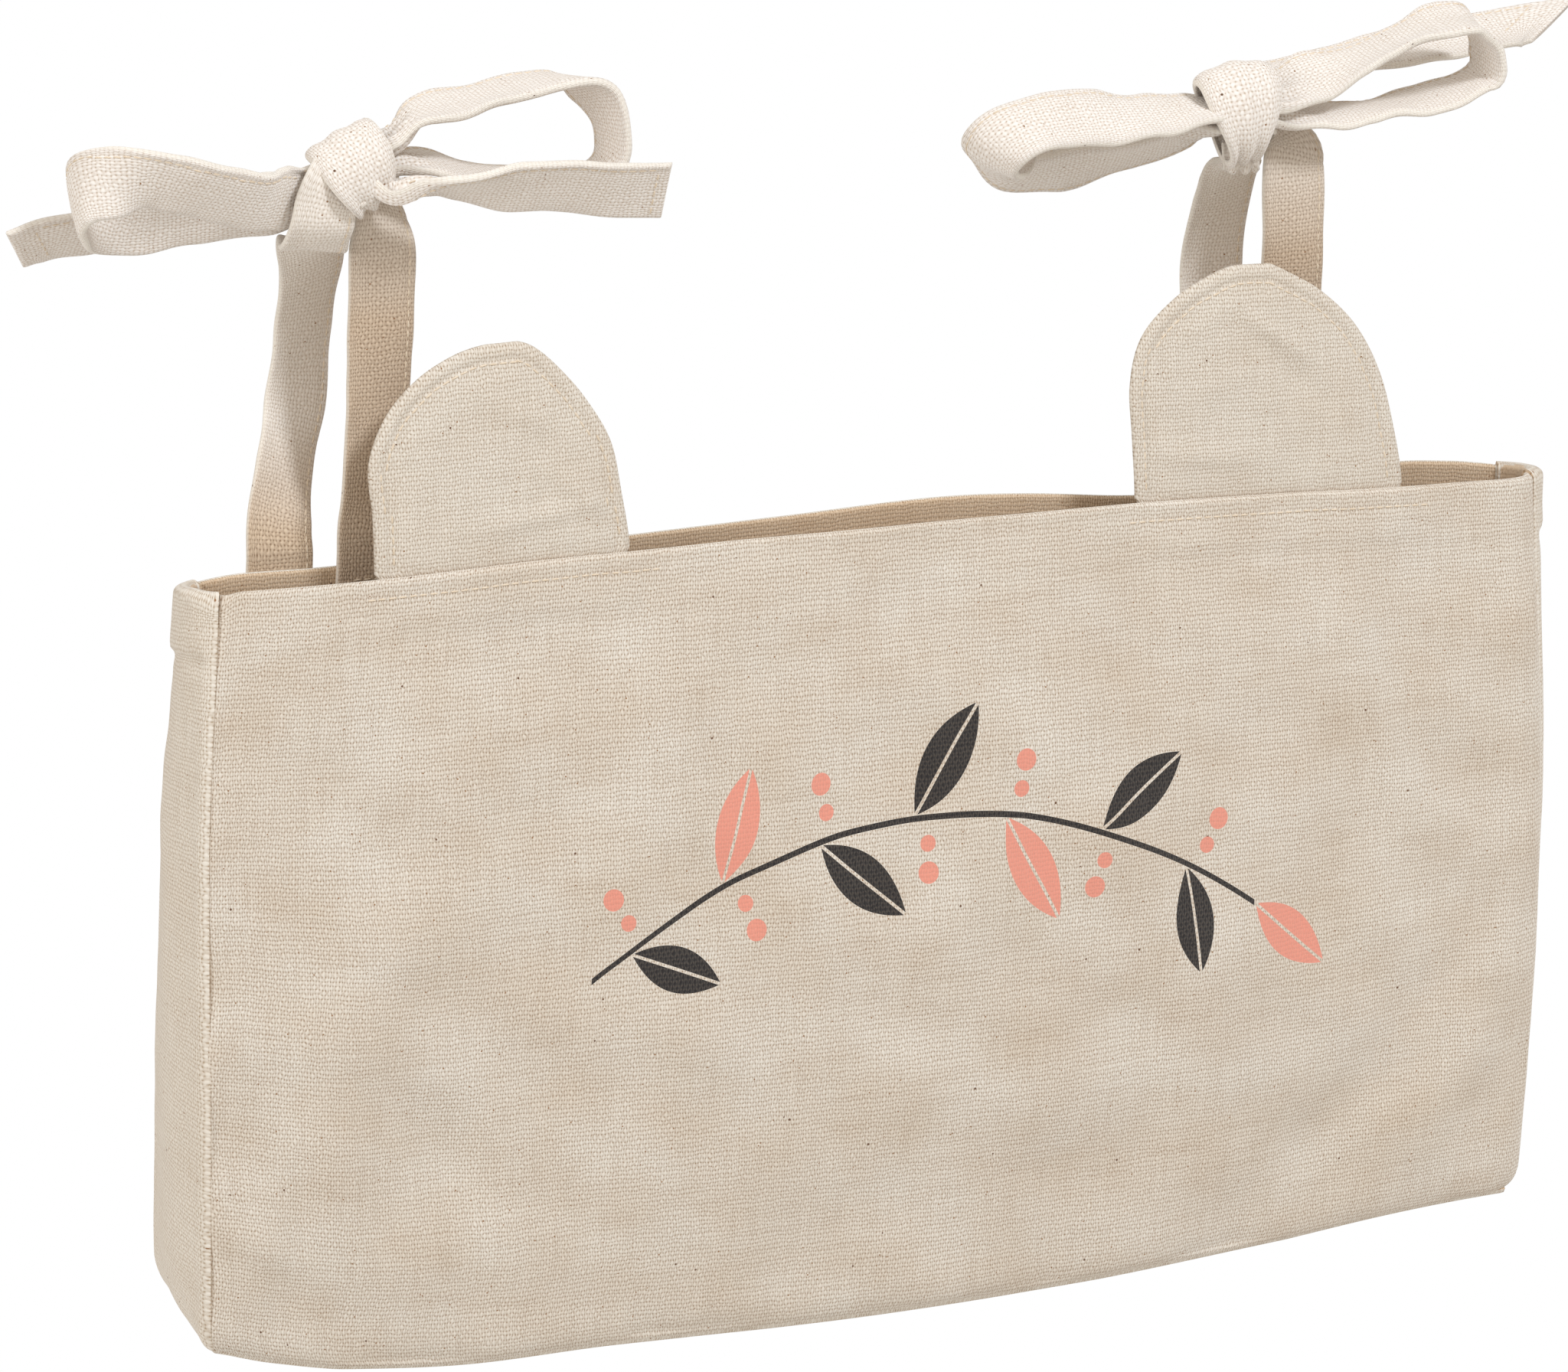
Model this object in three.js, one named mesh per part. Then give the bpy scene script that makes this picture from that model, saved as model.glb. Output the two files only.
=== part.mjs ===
// Canvas crib organizer: a pocket with two ears that hangs from a rail by two tied straps.
// Millimetres, +Z up, the printed front faces -Y. Origin: middle of the back panel's rim.
import * as THREE from "three";

// Driving dimensions
const canvas = 1.1;
const hemSlot = 0.4;
const hemDepth = 16;
const seamGap = 0.2;
const fit = 0.3;
const halfWidthRim = 199.5;
const halfWidthBody = 202;
const bodyHeight = 207;
const bottomRise = 9;
const depthRim = 22;
const depthBottom = 40;
const rimBelly = 6;
const frontBelly = 5;
const rimLevel = 3.2;
const sideSwell = 1.5;
const gussetBulge = 5;
const strapWidth = 19;
const strapThickness = 2;
const strapSewn = 30;
const leftTieX = -172;
const leftFrontX = -148;
const rightTieX = 106;
const rightFrontX = 130;
const earTabDepth = 12;
const earLean = 8;
const grip = 3.5;

const foldRadius = canvas + hemSlot / 2;
const rimThickness = 2 * foldRadius;

const cloth = { front: 0xd9cbb9, side: 0xc9beae, ear: 0xd3cabb, inside: 0xc9b096, strap: 0xcfbfa9 };
const group = new THREE.Group();

function lerp(a, b, t) {
  return a + (b - a) * t;
}

function clamp01(t) {
  return Math.min(1, Math.max(0, t));
}

function smooth(t) {
  const c = clamp01(t);
  return c * c * (3 - 2 * c);
}

function bump(x, centre, spread) {
  const d = (x - centre) / spread;
  return Math.exp(-d * d);
}

function catmull(a, b, c, d, t) {
  const t2 = t * t;
  const t3 = t2 * t;
  const keep = 2 * b + (c - a) * t;
  return 0.5 * (keep + (2 * a - 5 * b + 4 * c - d) * t2 + (3 * b - a - 3 * c + d) * t3);
}

// A value read off a few chosen points, with a smooth run between them
function profile(points, at) {
  const last = points.length - 1;
  const s = points.findIndex((p, k) => k === last - 1 || at < points[k + 1][0]);
  const t = clamp01((at - points[s][0]) / (points[s + 1][0] - points[s][0]));
  const v = [s - 1, s, s + 1, s + 2].map((k) => points[Math.min(last, Math.max(0, k))][1]);
  return catmull(v[0], v[1], v[2], v[3], t);
}

// Outer faces of the pocket. The rims and the lower edge hang in soft waves:
// share of the half width, then height or sag.
const frontRim = [
  [-1, 0.4], [-0.97, 0.9], [-0.78, 1.5], [-0.55, 3.8], [-0.21, 5.4], [0.26, 6.2], [0.49, 5.7], [0.78, 3.6], [1, 2.6],
];
const backRim = [
  [-1, -2], [-0.93, -0.6], [-0.8, -0.7], [-0.35, 1.2], [-0.1, 3.1], [0.1, 4.7], [0.24, 3.7], [0.42, 0.4],
  [0.6, 0.6], [0.82, 3.9], [0.92, 2.8], [1, 0.8],
];
const lowerEdge = [
  [-1, 1.5], [-0.905, 6.4], [-0.8, 10.5], [-0.62, 12.8], [-0.41, 11.6], [-0.03, 11.7], [0.33, 9.3], [0.63, 5.1],
  [0.82, 1.7], [1, 0.3],
];

function rimZ(x, y) {
  const share = x / halfWidthRim;
  return lerp(profile(backRim, share), profile(frontRim, share), smooth(-y / depthRim));
}

function cornerDepth(z) {
  const down = clamp01((rimLevel - z) / bodyHeight);
  return depthRim + (depthBottom - depthRim) * Math.pow(Math.sin((down * Math.PI) / 2), 1.1);
}

function frontFolds(x, z) {
  const down = clamp01(-z / bodyHeight);
  let fold = 2.2 * bump(x + 0.25 * z, -206, 10) * bump(z, -178, 34);
  fold -= 1.8 * bump(x + 0.3 * z, -186, 12) * bump(z, -168, 40);
  fold += 1.6 * bump(x - 0.4 * z, -110, 17) * smooth((down - 0.2) * 3);
  fold -= 1.4 * bump(x - 0.5 * z, -30, 22) * smooth((down - 0.2) * 3) * (1 - 0.6 * down);
  fold += 1.4 * bump(x + 0.45 * z, 30, 20) * smooth((down - 0.1) * 3);
  fold -= 2.2 * bump(x - 0.9 * z, 296, 13) * bump(z, -160, 42);
  fold += 1.8 * bump(x - 0.6 * z, 282, 11) * bump(z, -150, 46);
  return fold;
}

function frontY(x, z) {
  const across = clamp01(Math.abs(x) / halfWidthBody);
  const down = clamp01((rimLevel - z) / bodyHeight);
  const inner = Math.cos((across * Math.PI) / 2);
  const belly = lerp(rimBelly, frontBelly, down) + 4 * Math.sin(Math.PI * down);
  const fade = smooth((1 - across) * 8) * smooth((1 - down) * 6);
  return -cornerDepth(z) - belly * inner - frontFolds(x, z) * fade;
}

function backY() {
  return 0;
}

function sideX(y, z) {
  const down = clamp01((rimLevel - z) / bodyHeight);
  const half = lerp(halfWidthRim, halfWidthBody, smooth(down * 2.6)) + sideSwell * Math.sin(Math.PI * down);
  const across = clamp01(-y / cornerDepth(z));
  const bulge = gussetBulge * (1 - 0.35 * down) * Math.pow(Math.sin(Math.PI * across), 1.4);
  return half + bulge * smooth((1 - down) * 8);
}

function bottomZ(x, y) {
  const front = -bodyHeight - profile(lowerEdge, x / halfWidthBody);
  return front + bottomRise * (1 - clamp01(-y / depthBottom));
}

// Closed meshes

function add(name, positions, faces, color) {
  let volume = 0;
  for (const [a, b, c] of faces) {
    volume += new THREE.Vector3().copy(positions[a]).cross(positions[b]).dot(positions[c]);
  }
  const geometry = new THREE.BufferGeometry();
  const flat = [];
  for (const p of positions) {
    flat.push(p.x, p.y, p.z);
  }
  const index = [];
  for (const [a, b, c] of faces) {
    index.push(a, volume > 0 ? b : c, volume > 0 ? c : b);
  }
  geometry.setAttribute("position", new THREE.Float32BufferAttribute(flat, 3));
  geometry.setIndex(index);
  geometry.computeVertexNormals();
  const material = new THREE.MeshStandardMaterial({ color, roughness: 0.92, metalness: 0 });
  const mesh = new THREE.Mesh(geometry, material);
  mesh.name = name;
  group.add(mesh);
}

function quad(faces, a, b, c, d) {
  faces.push([a, b, c]);
  faces.push([a, c, d]);
}

// A sheet closed between two grids of the same size
function addSheet(name, outer, inner, color) {
  const rows = outer.length;
  const cols = outer[0].length;
  const positions = [...outer.flat(), ...inner.flat()];
  const o = (r, c) => r * cols + c;
  const i = (r, c) => rows * cols + r * cols + c;
  const faces = [];
  for (let r = 0; r + 1 < rows; r++) {
    for (let c = 0; c + 1 < cols; c++) {
      quad(faces, o(r, c), o(r, c + 1), o(r + 1, c + 1), o(r + 1, c));
      quad(faces, i(r, c), i(r + 1, c), i(r + 1, c + 1), i(r, c + 1));
    }
  }
  for (let c = 0; c + 1 < cols; c++) {
    quad(faces, o(0, c + 1), o(0, c), i(0, c), i(0, c + 1));
    quad(faces, o(rows - 1, c), o(rows - 1, c + 1), i(rows - 1, c + 1), i(rows - 1, c));
  }
  for (let r = 0; r + 1 < rows; r++) {
    quad(faces, o(r, 0), o(r + 1, 0), i(r + 1, 0), i(r, 0));
    quad(faces, o(r + 1, cols - 1), o(r, cols - 1), i(r, cols - 1), i(r + 1, cols - 1));
  }
  add(name, positions, faces, color);
}

// A vertex of a panel, inset from the panel's outer face; neighbours meet in mitred seams
function panelPoint(panel, across, inset, height) {
  let x = lerp(-halfWidthBody, halfWidthBody, panel === "right" ? 1 : panel === "left" ? 0 : across);
  let y = -depthBottom * (panel === "front" ? 1 : panel === "back" ? 0 : across);
  let z = 0;
  for (let k = 0; k < 6; k++) {
    z = height(x, y, inset);
    const side = sideX(y, z) - inset;
    if (panel === "front" || panel === "back") {
      x = lerp(-side + seamGap, side - seamGap, across);
      y = panel === "front" ? frontY(x, z) + inset : backY() - inset;
    } else {
      x = panel === "left" ? -side : side;
      y = lerp(backY() - inset - seamGap, frontY(x, z) + inset + seamGap, across);
    }
  }
  return new THREE.Vector3(x, y, z);
}

function fromRim(below) {
  return (x, y) => rimZ(x, y) - below;
}

function fromBottom(part) {
  return (x, y, inset) => {
    const top = rimZ(x, y) - foldRadius;
    return lerp(bottomZ(x, y) + inset + seamGap, top, part);
  };
}

// Pairs of inset and height, from the bottom seam up, over the rim and down the hem
function panelRows(steps) {
  const rows = [];
  for (let k = 0; k <= steps; k++) {
    const rule = fromBottom(k / steps);
    rows.push([0, rule, canvas, rule]);
  }
  for (const angle of [45, 90, 135, 180]) {
    const turn = (angle * Math.PI) / 180;
    const innerRadius = foldRadius - canvas;
    rows.push([
      foldRadius * (1 - Math.cos(turn)),
      fromRim(foldRadius - foldRadius * Math.sin(turn)),
      foldRadius - innerRadius * Math.cos(turn),
      fromRim(foldRadius - innerRadius * Math.sin(turn)),
    ]);
  }
  for (const part of [0.35, 1]) {
    const rule = fromRim(lerp(foldRadius, hemDepth, part));
    rows.push([rimThickness, rule, rimThickness - canvas, rule]);
  }
  return rows;
}

function addPanel(name, panel, cols, steps, color) {
  const outer = [];
  const inner = [];
  for (const [outInset, outHeight, inInset, inHeight] of panelRows(steps)) {
    const a = [];
    const b = [];
    for (let c = 0; c <= cols; c++) {
      a.push(panelPoint(panel, c / cols, outInset, outHeight));
      b.push(panelPoint(panel, c / cols, inInset, inHeight));
    }
    outer.push(a);
    inner.push(b);
  }
  addSheet(name, outer, inner, color);
}

function addBottom(cols, rows, color) {
  const grids = [0, canvas].map((inset) => {
    const grid = [];
    for (let r = 0; r <= rows; r++) {
      const line = [];
      for (let c = 0; c <= cols; c++) {
        let x = lerp(-halfWidthBody, halfWidthBody, c / cols);
        let y = (-depthBottom * r) / rows;
        let z = 0;
        for (let k = 0; k < 6; k++) {
          z = bottomZ(x, y) + inset;
          const side = sideX(y, z) - inset - seamGap;
          x = lerp(-side, side, c / cols);
          y = lerp(backY() - inset - seamGap, frontY(x, z) + inset + seamGap, r / rows);
        }
        line.push(new THREE.Vector3(x, y, z));
      }
      grid.push(line);
    }
    return grid;
  });
  addSheet("bottom_panel", grids[0], grids[1], color);
}

addPanel("front_panel", "front", 28, 16, cloth.front);
addPanel("back_panel", "back", 28, 16, cloth.inside);
addPanel("left_gusset", "left", 6, 16, cloth.side);
addPanel("right_gusset", "right", 6, 16, cloth.side);
addBottom(28, 6, cloth.side);

// Ears: two layers each, standing behind the front rim on a tab sewn to the hem

// reach from the middle of the base, at every 15 degrees of rise
function addEar(side, base, height, leftReach, rightReach) {
  const half = (leftReach[0] + rightReach[0]) / 2;
  const ends = [base - half, base + half].map((x) => {
    const z = rimZ(x, frontY(x, 0));
    return new THREE.Vector3(x, frontY(x, z) + rimThickness + fit, z);
  });
  const along = new THREE.Vector3().subVectors(ends[1], ends[0]).normalize();
  const middle = new THREE.Vector3().addVectors(ends[0], ends[1]).multiplyScalar(0.5);
  const layers = [
    ["front", 0, 1],
    ["back", canvas + fit, -1],
  ];
  for (const [layer, start, way] of layers) {
    const grids = [0, canvas].map((offset) => {
      const grid = [];
      const rows = 11;
      const cols = 10;
      for (let r = 0; r <= rows; r++) {
        const degrees = (r / rows) * 88;
        const rise = Math.sin((degrees * Math.PI) / 180);
        const low = -profile(leftReach.map((v, k) => [k * 15, v]), degrees);
        const high = profile(rightReach.map((v, k) => [k * 15, v]), degrees);
        const line = [];
        for (let c = 0; c <= cols; c++) {
          const across = (2 * c) / cols - 1;
          const u = lerp(low, high, c / cols);
          const dome = 1.2 * (1 - across * across) * Math.sin(Math.PI * Math.min(1, rise));
          const y = start + offset + earLean * Math.pow(rise, 1.2) - way * dome * 0.5;
          line.push(
            new THREE.Vector3()
              .copy(middle)
              .addScaledVector(along, u)
              .add(new THREE.Vector3(0, y + canvas * 0.2, 0.6 + height * rise)),
          );
        }
        grid.push(line);
      }
      return grid;
    });
    addSheet(`${side}_ear_${layer}`, grids[0], grids[1], cloth.ear);
  }
  const tab = [0, 2.2].map((offset) => {
    const grid = [];
    for (const below of [0.1, 4.5, 8.5, earTabDepth]) {
      const line = [];
      for (let c = 0; c <= 10; c++) {
        const x = lerp(base - half + 1.5, base + half - 1.5, c / 10);
        const z = rimZ(x, frontY(x, 0)) - below;
        line.push(new THREE.Vector3(x, frontY(x, z) + rimThickness + fit + offset, z));
      }
      grid.push(line);
    }
    return grid;
  });
  addSheet(`${side}_ear_tab`, tab[0], tab[1], cloth.ear);
}

addEar("left", -116.7, 58.3, [36.6, 37, 38, 33.2, 24.2, 11.9, 1.4], [36.6, 34.2, 31.2, 24, 15, 7.4, 3.2]);
addEar("right", 114.9, 63.2, [42.7, 43.8, 44.6, 40.9, 30.5, 16.2, 8.8], [42.7, 39.5, 34.9, 27.3, 15.5, 1.1, -4.6]);

// Straps: a flat folded band that follows stations chosen along its way.
// A station is the centre x, y, z and the direction of the band's width, in tenths.

function route(stations, steps) {
  const last = stations.length - 1;
  const before = stations[0].map((v, k) => 2 * v - stations[1][k]);
  const after = stations[last].map((v, k) => 2 * v - stations[last - 1][k]);
  const all = [before, ...stations, after];
  const out = [];
  for (let s = 0; s < last; s++) {
    for (let k = 0; k < steps; k++) {
      const t = k / steps;
      out.push(all[s].map((v, m) => catmull(v, all[s + 1][m], all[s + 2][m], all[s + 3][m], t)));
    }
  }
  out.push(stations[last]);
  return out;
}

function bandSection(half, thick) {
  const h = thick / 2;
  return [
    [half, h * 0.4],
    [half - 0.7, h],
    [-half + 0.7, h],
    [-half, h * 0.4],
    [-half, -h * 0.4],
    [-half + 0.7, -h],
    [half - 0.7, -h],
    [half, -h * 0.4],
  ];
}

function addBand(name, stations, options = {}) {
  const { steps = 4, start = 1, end = 1, taper = 14, slant = 0, width = strapWidth } = options;
  const path = route(stations, steps);
  const centres = path.map((p) => new THREE.Vector3(p[0], p[1], p[2]));
  const runs = [0];
  for (let k = 1; k < centres.length; k++) {
    runs.push(runs[k - 1] + centres[k].distanceTo(centres[k - 1]));
  }
  const total = runs[runs.length - 1];
  const positions = [];
  centres.forEach((centre, k) => {
    const from = centres[Math.max(0, k - 1)];
    const to = centres[Math.min(centres.length - 1, k + 1)];
    const tangent = new THREE.Vector3().subVectors(to, from).normalize();
    const wide = new THREE.Vector3(path[k][3], path[k][4], path[k][5]);
    wide.addScaledVector(tangent, -wide.dot(tangent)).normalize();
    const normal = new THREE.Vector3().crossVectors(tangent, wide);
    const open = lerp(start, 1, smooth((runs[k] - grip) / taper));
    const shut = lerp(end, 1, smooth((total - runs[k] - grip) / taper));
    const half = (width / 2) * Math.min(open, shut);
    const cut = slant * smooth(1 - (total - runs[k]) / 16);
    for (const [a, b] of bandSection(half, strapThickness)) {
      positions.push(
        centre
          .clone()
          .addScaledVector(wide, a)
          .addScaledVector(normal, b)
          .addScaledVector(tangent, (cut * a) / half),
      );
    }
  });
  const count = 8;
  const faces = [];
  for (let k = 0; k + 1 < centres.length; k++) {
    for (let m = 0; m < count; m++) {
      const n = (m + 1) % count;
      quad(faces, k * count + m, k * count + n, (k + 1) * count + n, (k + 1) * count + m);
    }
  }
  const top = (centres.length - 1) * count;
  for (const [a, b, c, d] of [[0, 1, 2, 3], [0, 3, 4, 7], [7, 4, 5, 6]]) {
    quad(faces, d, c, b, a);
    quad(faces, top + a, top + b, top + c, top + d);
  }
  add(name, positions, faces, cloth.strap);
}

// The turn of strap that closes a bow: a ring about the bow's axis, pinched at its foot
function addWrap(name, centre, axis, radii, halfTop, halfFoot, phase) {
  const along = new THREE.Vector3(...axis).normalize();
  const front = new THREE.Vector3(0, -1, 0).addScaledVector(along, along.y).normalize();
  const up = new THREE.Vector3().crossVectors(front, along).multiplyScalar(-1);
  if (up.z < 0) {
    up.multiplyScalar(-1);
  }
  const rings = 28;
  const count = 8;
  const positions = [];
  for (let k = 0; k < rings; k++) {
    const angle = (k / rings) * 2 * Math.PI;
    const c = Math.cos(angle);
    const s = Math.sin(angle);
    const share = smooth((1 + Math.cos(angle - phase)) / 2);
    const half = lerp(halfFoot, halfTop, share);
    const out = new THREE.Vector3().addScaledVector(up, c / radii[1]).addScaledVector(front, s / radii[0]);
    out.normalize();
    const mid = new THREE.Vector3(...centre).addScaledVector(up, radii[1] * c);
    mid.addScaledVector(front, radii[0] * s);
    for (const [a, b] of bandSection(half, strapThickness)) {
      positions.push(mid.clone().addScaledVector(along, a).addScaledVector(out, b));
    }
  }
  const faces = [];
  for (let k = 0; k < rings; k++) {
    const next = (k + 1) % rings;
    for (let m = 0; m < count; m++) {
      const n = (m + 1) % count;
      quad(faces, k * count + m, k * count + n, next * count + n, next * count + m);
    }
  }
  add(name, positions, faces, cloth.strap);
}

const outsideY = fit + strapThickness / 2;
const insideY = -rimThickness - fit - strapThickness / 2;

function addSewnEnds(side, rearX, frontX) {
  addBand(`${side}_rear_end`, [
    [rearX, outsideY, -strapSewn, 10, 0, 0],
    [rearX, outsideY, -0.3, 10, 0, 0],
  ]);
  addBand(`${side}_front_end`, [
    [frontX, insideY, -strapSewn, 10, 0, 0],
    [frontX, insideY, -0.3, 10, 0, 0],
  ]);
}

addSewnEnds("left", leftTieX, leftFrontX);
addSewnEnds("right", rightTieX, rightFrontX);

// Left tie
addBand("left_rear_leg", [
  [leftTieX, outsideY, 0.5, 10, 0, 0],
  [leftTieX, outsideY + 0.3, 4, 10, 0, 0],
  [-171, 5, 10, 10, 1, 0],
  [-167, 13, 21, 9, 3, -1],
  [-161, 21, 41, 10, 2, -1],
  [-159, 22, 63, 10, 3, -1],
  [-159, 18, 77, 9, 3, -2],
  [-163, 9, 86.5, 10, 3, -2],
  [-167.2, -3, 89.5, 10, 2, -2],
  [-167.5, -9, 96, 10, 1, -2],
  [-166.5, -9.5, 103, 10, 1, -2],
  [-164, -8.6, 107.2, 10, 2, -2],
], { end: 0.7 });
addBand("left_front_leg", [
  [leftFrontX, insideY, 0.3, 10, 0, 0],
  [leftFrontX, insideY, 4, 10, 0, 0],
  [-148, -3.5, 10, 10, 0, 0],
  [-147, -2, 20, 10, 1, -1],
  [-146, -0.5, 46, 10, 1, -1],
  [-146, -0.5, 70, 10, 0, -1],
  [-146, 0, 85, 10, 0, -1],
  [-146, 2, 94, 9, 3, -1],
  [-146, 6, 98, 9, 4, -1],
  [-148, 7.6, 103, 10, 0, -2],
], { end: 0.7 });
addWrap("left_knot_wrap", [-156.5, -3.5, 109.6], [88, 0, 46], [8.2, 9.2], 8.8, 5, 0.5);
addBand("left_loop_left", [
  [-164.2, -4.6, 105.5, -4, 0, 9],
  [-171, -4.5, 104, -2, 0, 10],
  [-180, -7, 104, 0, -3, 9],
  [-188, -11, 105, 0, -5, 9],
  [-204, -14, 110, -1, -5, 8],
  [-218, -14, 113.5, 0, -4, 9],
  [-228, -12, 114, 1, -4, 9],
  [-233.5, -7, 111, 1, -4, 9],
  [-233.5, -1, 105, 1, -4, 9],
  [-227, 5, 99.5, 0, -4, 9],
  [-216, 7, 96.5, -1, -4, 9],
  [-203, 6, 97, -2, -4, 9],
  [-188, 4, 99, -2, -4, 9],
  [-174, 0, 102, -1, -2, 9],
  [-164.2, -1.5, 105.5, -4, 0, 9],
], { start: 0.75, end: 0.75 });
addBand("left_loop_right", [
  [-150.5, -3.5, 115, 0, 10, 0],
  [-145, -4, 118, 2, 9, 0],
  [-138, -3, 124, 2, 10, 1],
  [-124, -2, 126.3, 2, 10, 1],
  [-107, -2, 129.8, 2, 10, 0],
  [-95.5, -2, 130.6, 0, 10, -2],
  [-87.5, -2, 126, -2, 9, -4],
  [-82.5, -2, 116.5, -1, 10, -3],
  [-82.5, -2, 108.5, -1, 10, -3],
  [-88, -1, 104, 0, 10, -1],
  [-103, 0, 103.5, 1, 10, 0],
  [-121, 0, 106, 2, 10, 0],
  [-133, -1, 110, 2, 10, 0],
  [-142, -3, 111, 2, 9, 0],
  [-149.5, -3.5, 110.5, 0, 10, 0],
], { start: 0.68, end: 0.66 });
addBand("left_tail_left", [
  [-160.5, 9.8, 104, -3, -6, 7],
  [-172, 10.5, 100, -3, -6, 7],
  [-180, 13, 98, -3, -6, 7],
  [-194, 17, 95, -3, -6, 7],
  [-210, 19, 92, -3, -6, 7],
  [-225, 19, 90.8, -3, -6, 7],
  [-236, 18, 89.8, -3, -6, 7],
  [-244, 17, 88, -3, -6, 7],
], { start: 0.6, slant: 4 });
addBand("left_tail_right", [
  [-148.3, -12, 105.6, 2, 9, 0],
  [-141, -18, 108, 4, 9, 1],
  [-132, -21, 108, 3, 9, 2],
  [-117, -22.5, 107.5, 4, 9, 3],
  [-104, -23, 107, 4, 9, 3],
  [-90, -23, 105, 3, 8, 5],
  [-74, -23, 104, 3, 8, 6],
], { start: 0.6, slant: 3 });

// Right tie
addBand("right_rear_leg", [
  [rightTieX, outsideY, 0.5, 10, 0, 0],
  [rightTieX, outsideY + 0.3, 4, 10, 0, 0],
  [108, 5, 11, 10, 0, 0],
  [111, 13, 23, 10, 0, 0],
  [115, 21, 45, 10, 0, 0],
  [115, 22, 63, 10, 0, -1],
  [115, 18, 79, 10, 2, -1],
  [113, 10, 90, 9, 4, -3],
  [110, 2, 93.8, 9, 4, -1],
  [109, -3, 93.7, 10, 1, -1],
], { end: 0.7 });
addBand("right_front_leg", [
  [rightFrontX, insideY, 0.3, 10, 0, 0],
  [rightFrontX, insideY, 4, 10, 0, 0],
  [130, -3.5, 11, 10, 0, 0],
  [130, -2, 26, 10, 0, 0],
  [129, -0.5, 55, 10, 0, 0],
  [128, -0.5, 76, 10, 0, -1],
  [127, 0, 92, 10, 0, 0],
  [128, 3, 98, 10, 2, 0],
  [124, 8, 102, 10, 1, -1],
  [118, 8.2, 104, 9, 0, -4],
], { end: 0.7 });
addWrap("right_knot_wrap", [106.5, -3, 109.3], [98, 0, 14], [8.2, 12.6], 11, 4, 0.3);
addBand("right_loop_left", [
  [99.5, -3, 111.6, 0, 10, 0],
  [93, -4, 112, 2, 9, 2],
  [84, -4, 111, 4, 9, 3],
  [68, -5, 111.3, 4, 8, 4],
  [55, -6, 112, 4, 7, 6],
  [42, -7, 111, 2, 7, 7],
  [34, -6, 107.5, 2, 8, 5],
  [30.5, -3, 102, 3, 8, 3],
  [34, 2, 98, 5, 8, -1],
  [44, 4, 94, 4, 7, -6],
  [57, 3, 94.6, 4, 6, -7],
  [72, 2, 97.2, 5, 7, -6],
  [87, 1, 100.6, 5, 7, -5],
  [94, -1, 103.6, 4, 8, -4],
  [100, -2.8, 106, 0, 10, -1],
], { start: 0.62, end: 0.6 });
addBand("right_loop_right", [
  [113.5, -3.3, 115.6, 0, 10, 0],
  [120, -4, 116.4, 2, 9, 2],
  [129, -3, 119, 2, 10, 2],
  [145, -3, 123, 2, 10, 1],
  [156, -4, 128, 2, 10, 1],
  [167, -5, 132, 2, 10, 1],
  [177, -4, 132, 5, 9, 0],
  [183, -3, 125.5, 1, 9, -3],
  [184.5, -2, 118, 0, 10, -2],
  [181, -1, 114, 1, 10, -1],
  [168, -1, 110, 1, 10, 0],
  [150, -1.5, 108, 2, 10, -1],
  [133, -2.5, 107.6, 2, 10, 0],
  [121, -3, 108.8, 2, 9, 1],
  [114, -3, 109, 0, 10, 0],
], { start: 0.6, end: 0.68 });
addBand("right_tail_left", [
  [101.8, 10.3, 106.2, -4, -6, 6],
  [92, 13, 105, -4, -6, 7],
  [80, 16, 103, -4, -6, 7],
  [64, 17, 101, -4, -6, 7],
  [51, 17, 100, -4, -5, 8],
], { start: 0.6, slant: 4 });
addBand("right_tail_right", [
  [112, 12.2, 114, 1, 10, 0],
  [124, 14, 114, 3, 9, 1],
  [145, 18, 116, 4, 9, 1],
  [168, 21, 118, 4, 9, 2],
  [189, 23, 120, 4, 9, 3],
  [202, 23, 121.5, 3, 9, 3],
  [210, 22, 122.5, 4, 9, 4],
  [218, 20, 124, 4, 9, 3],
], { start: 0.6, slant: 3 });

export default group;
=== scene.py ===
# %% [markdown]
# # Canvas crib organizer: how it looks
# The real thing is cut from one natural cotton canvas: a pocket of five panels, two ears of two
# layers each, and four folded straps tied in two bows. The CAD has each piece as a plain closed
# solid. Here every piece is made again as cloth, with folds, rolled seams and stitches. The panels
# ride with the pocket's body, and the knot wraps with the ties' body.

import math

import bpy
import numpy as np
from mathutils import Matrix, Vector, noise


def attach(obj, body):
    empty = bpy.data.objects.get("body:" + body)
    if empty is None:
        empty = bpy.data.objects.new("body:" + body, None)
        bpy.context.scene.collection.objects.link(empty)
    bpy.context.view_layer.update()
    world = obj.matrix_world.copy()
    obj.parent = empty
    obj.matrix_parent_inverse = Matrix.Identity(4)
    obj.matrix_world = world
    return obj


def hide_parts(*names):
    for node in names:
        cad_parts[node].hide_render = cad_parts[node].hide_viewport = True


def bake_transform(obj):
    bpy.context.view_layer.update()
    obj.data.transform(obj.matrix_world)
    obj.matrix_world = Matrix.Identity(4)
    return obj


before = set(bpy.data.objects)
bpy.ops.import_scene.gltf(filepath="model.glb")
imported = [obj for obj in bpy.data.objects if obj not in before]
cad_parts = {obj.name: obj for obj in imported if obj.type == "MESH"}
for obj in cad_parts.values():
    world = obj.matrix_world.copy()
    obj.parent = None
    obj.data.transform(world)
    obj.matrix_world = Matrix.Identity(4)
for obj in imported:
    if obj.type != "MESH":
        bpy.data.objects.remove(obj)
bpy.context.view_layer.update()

# %% [markdown]
# ## Light, floor and camera
# A product studio: a soft lamp above, in front and to the right makes the rims and the tops of the
# bows bright, and a weaker one at the left lights the gusset. The world is even and slightly warm,
# and looks white to the camera without putting more light on the cloth. The camera stands where the
# photograph was taken from.


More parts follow.
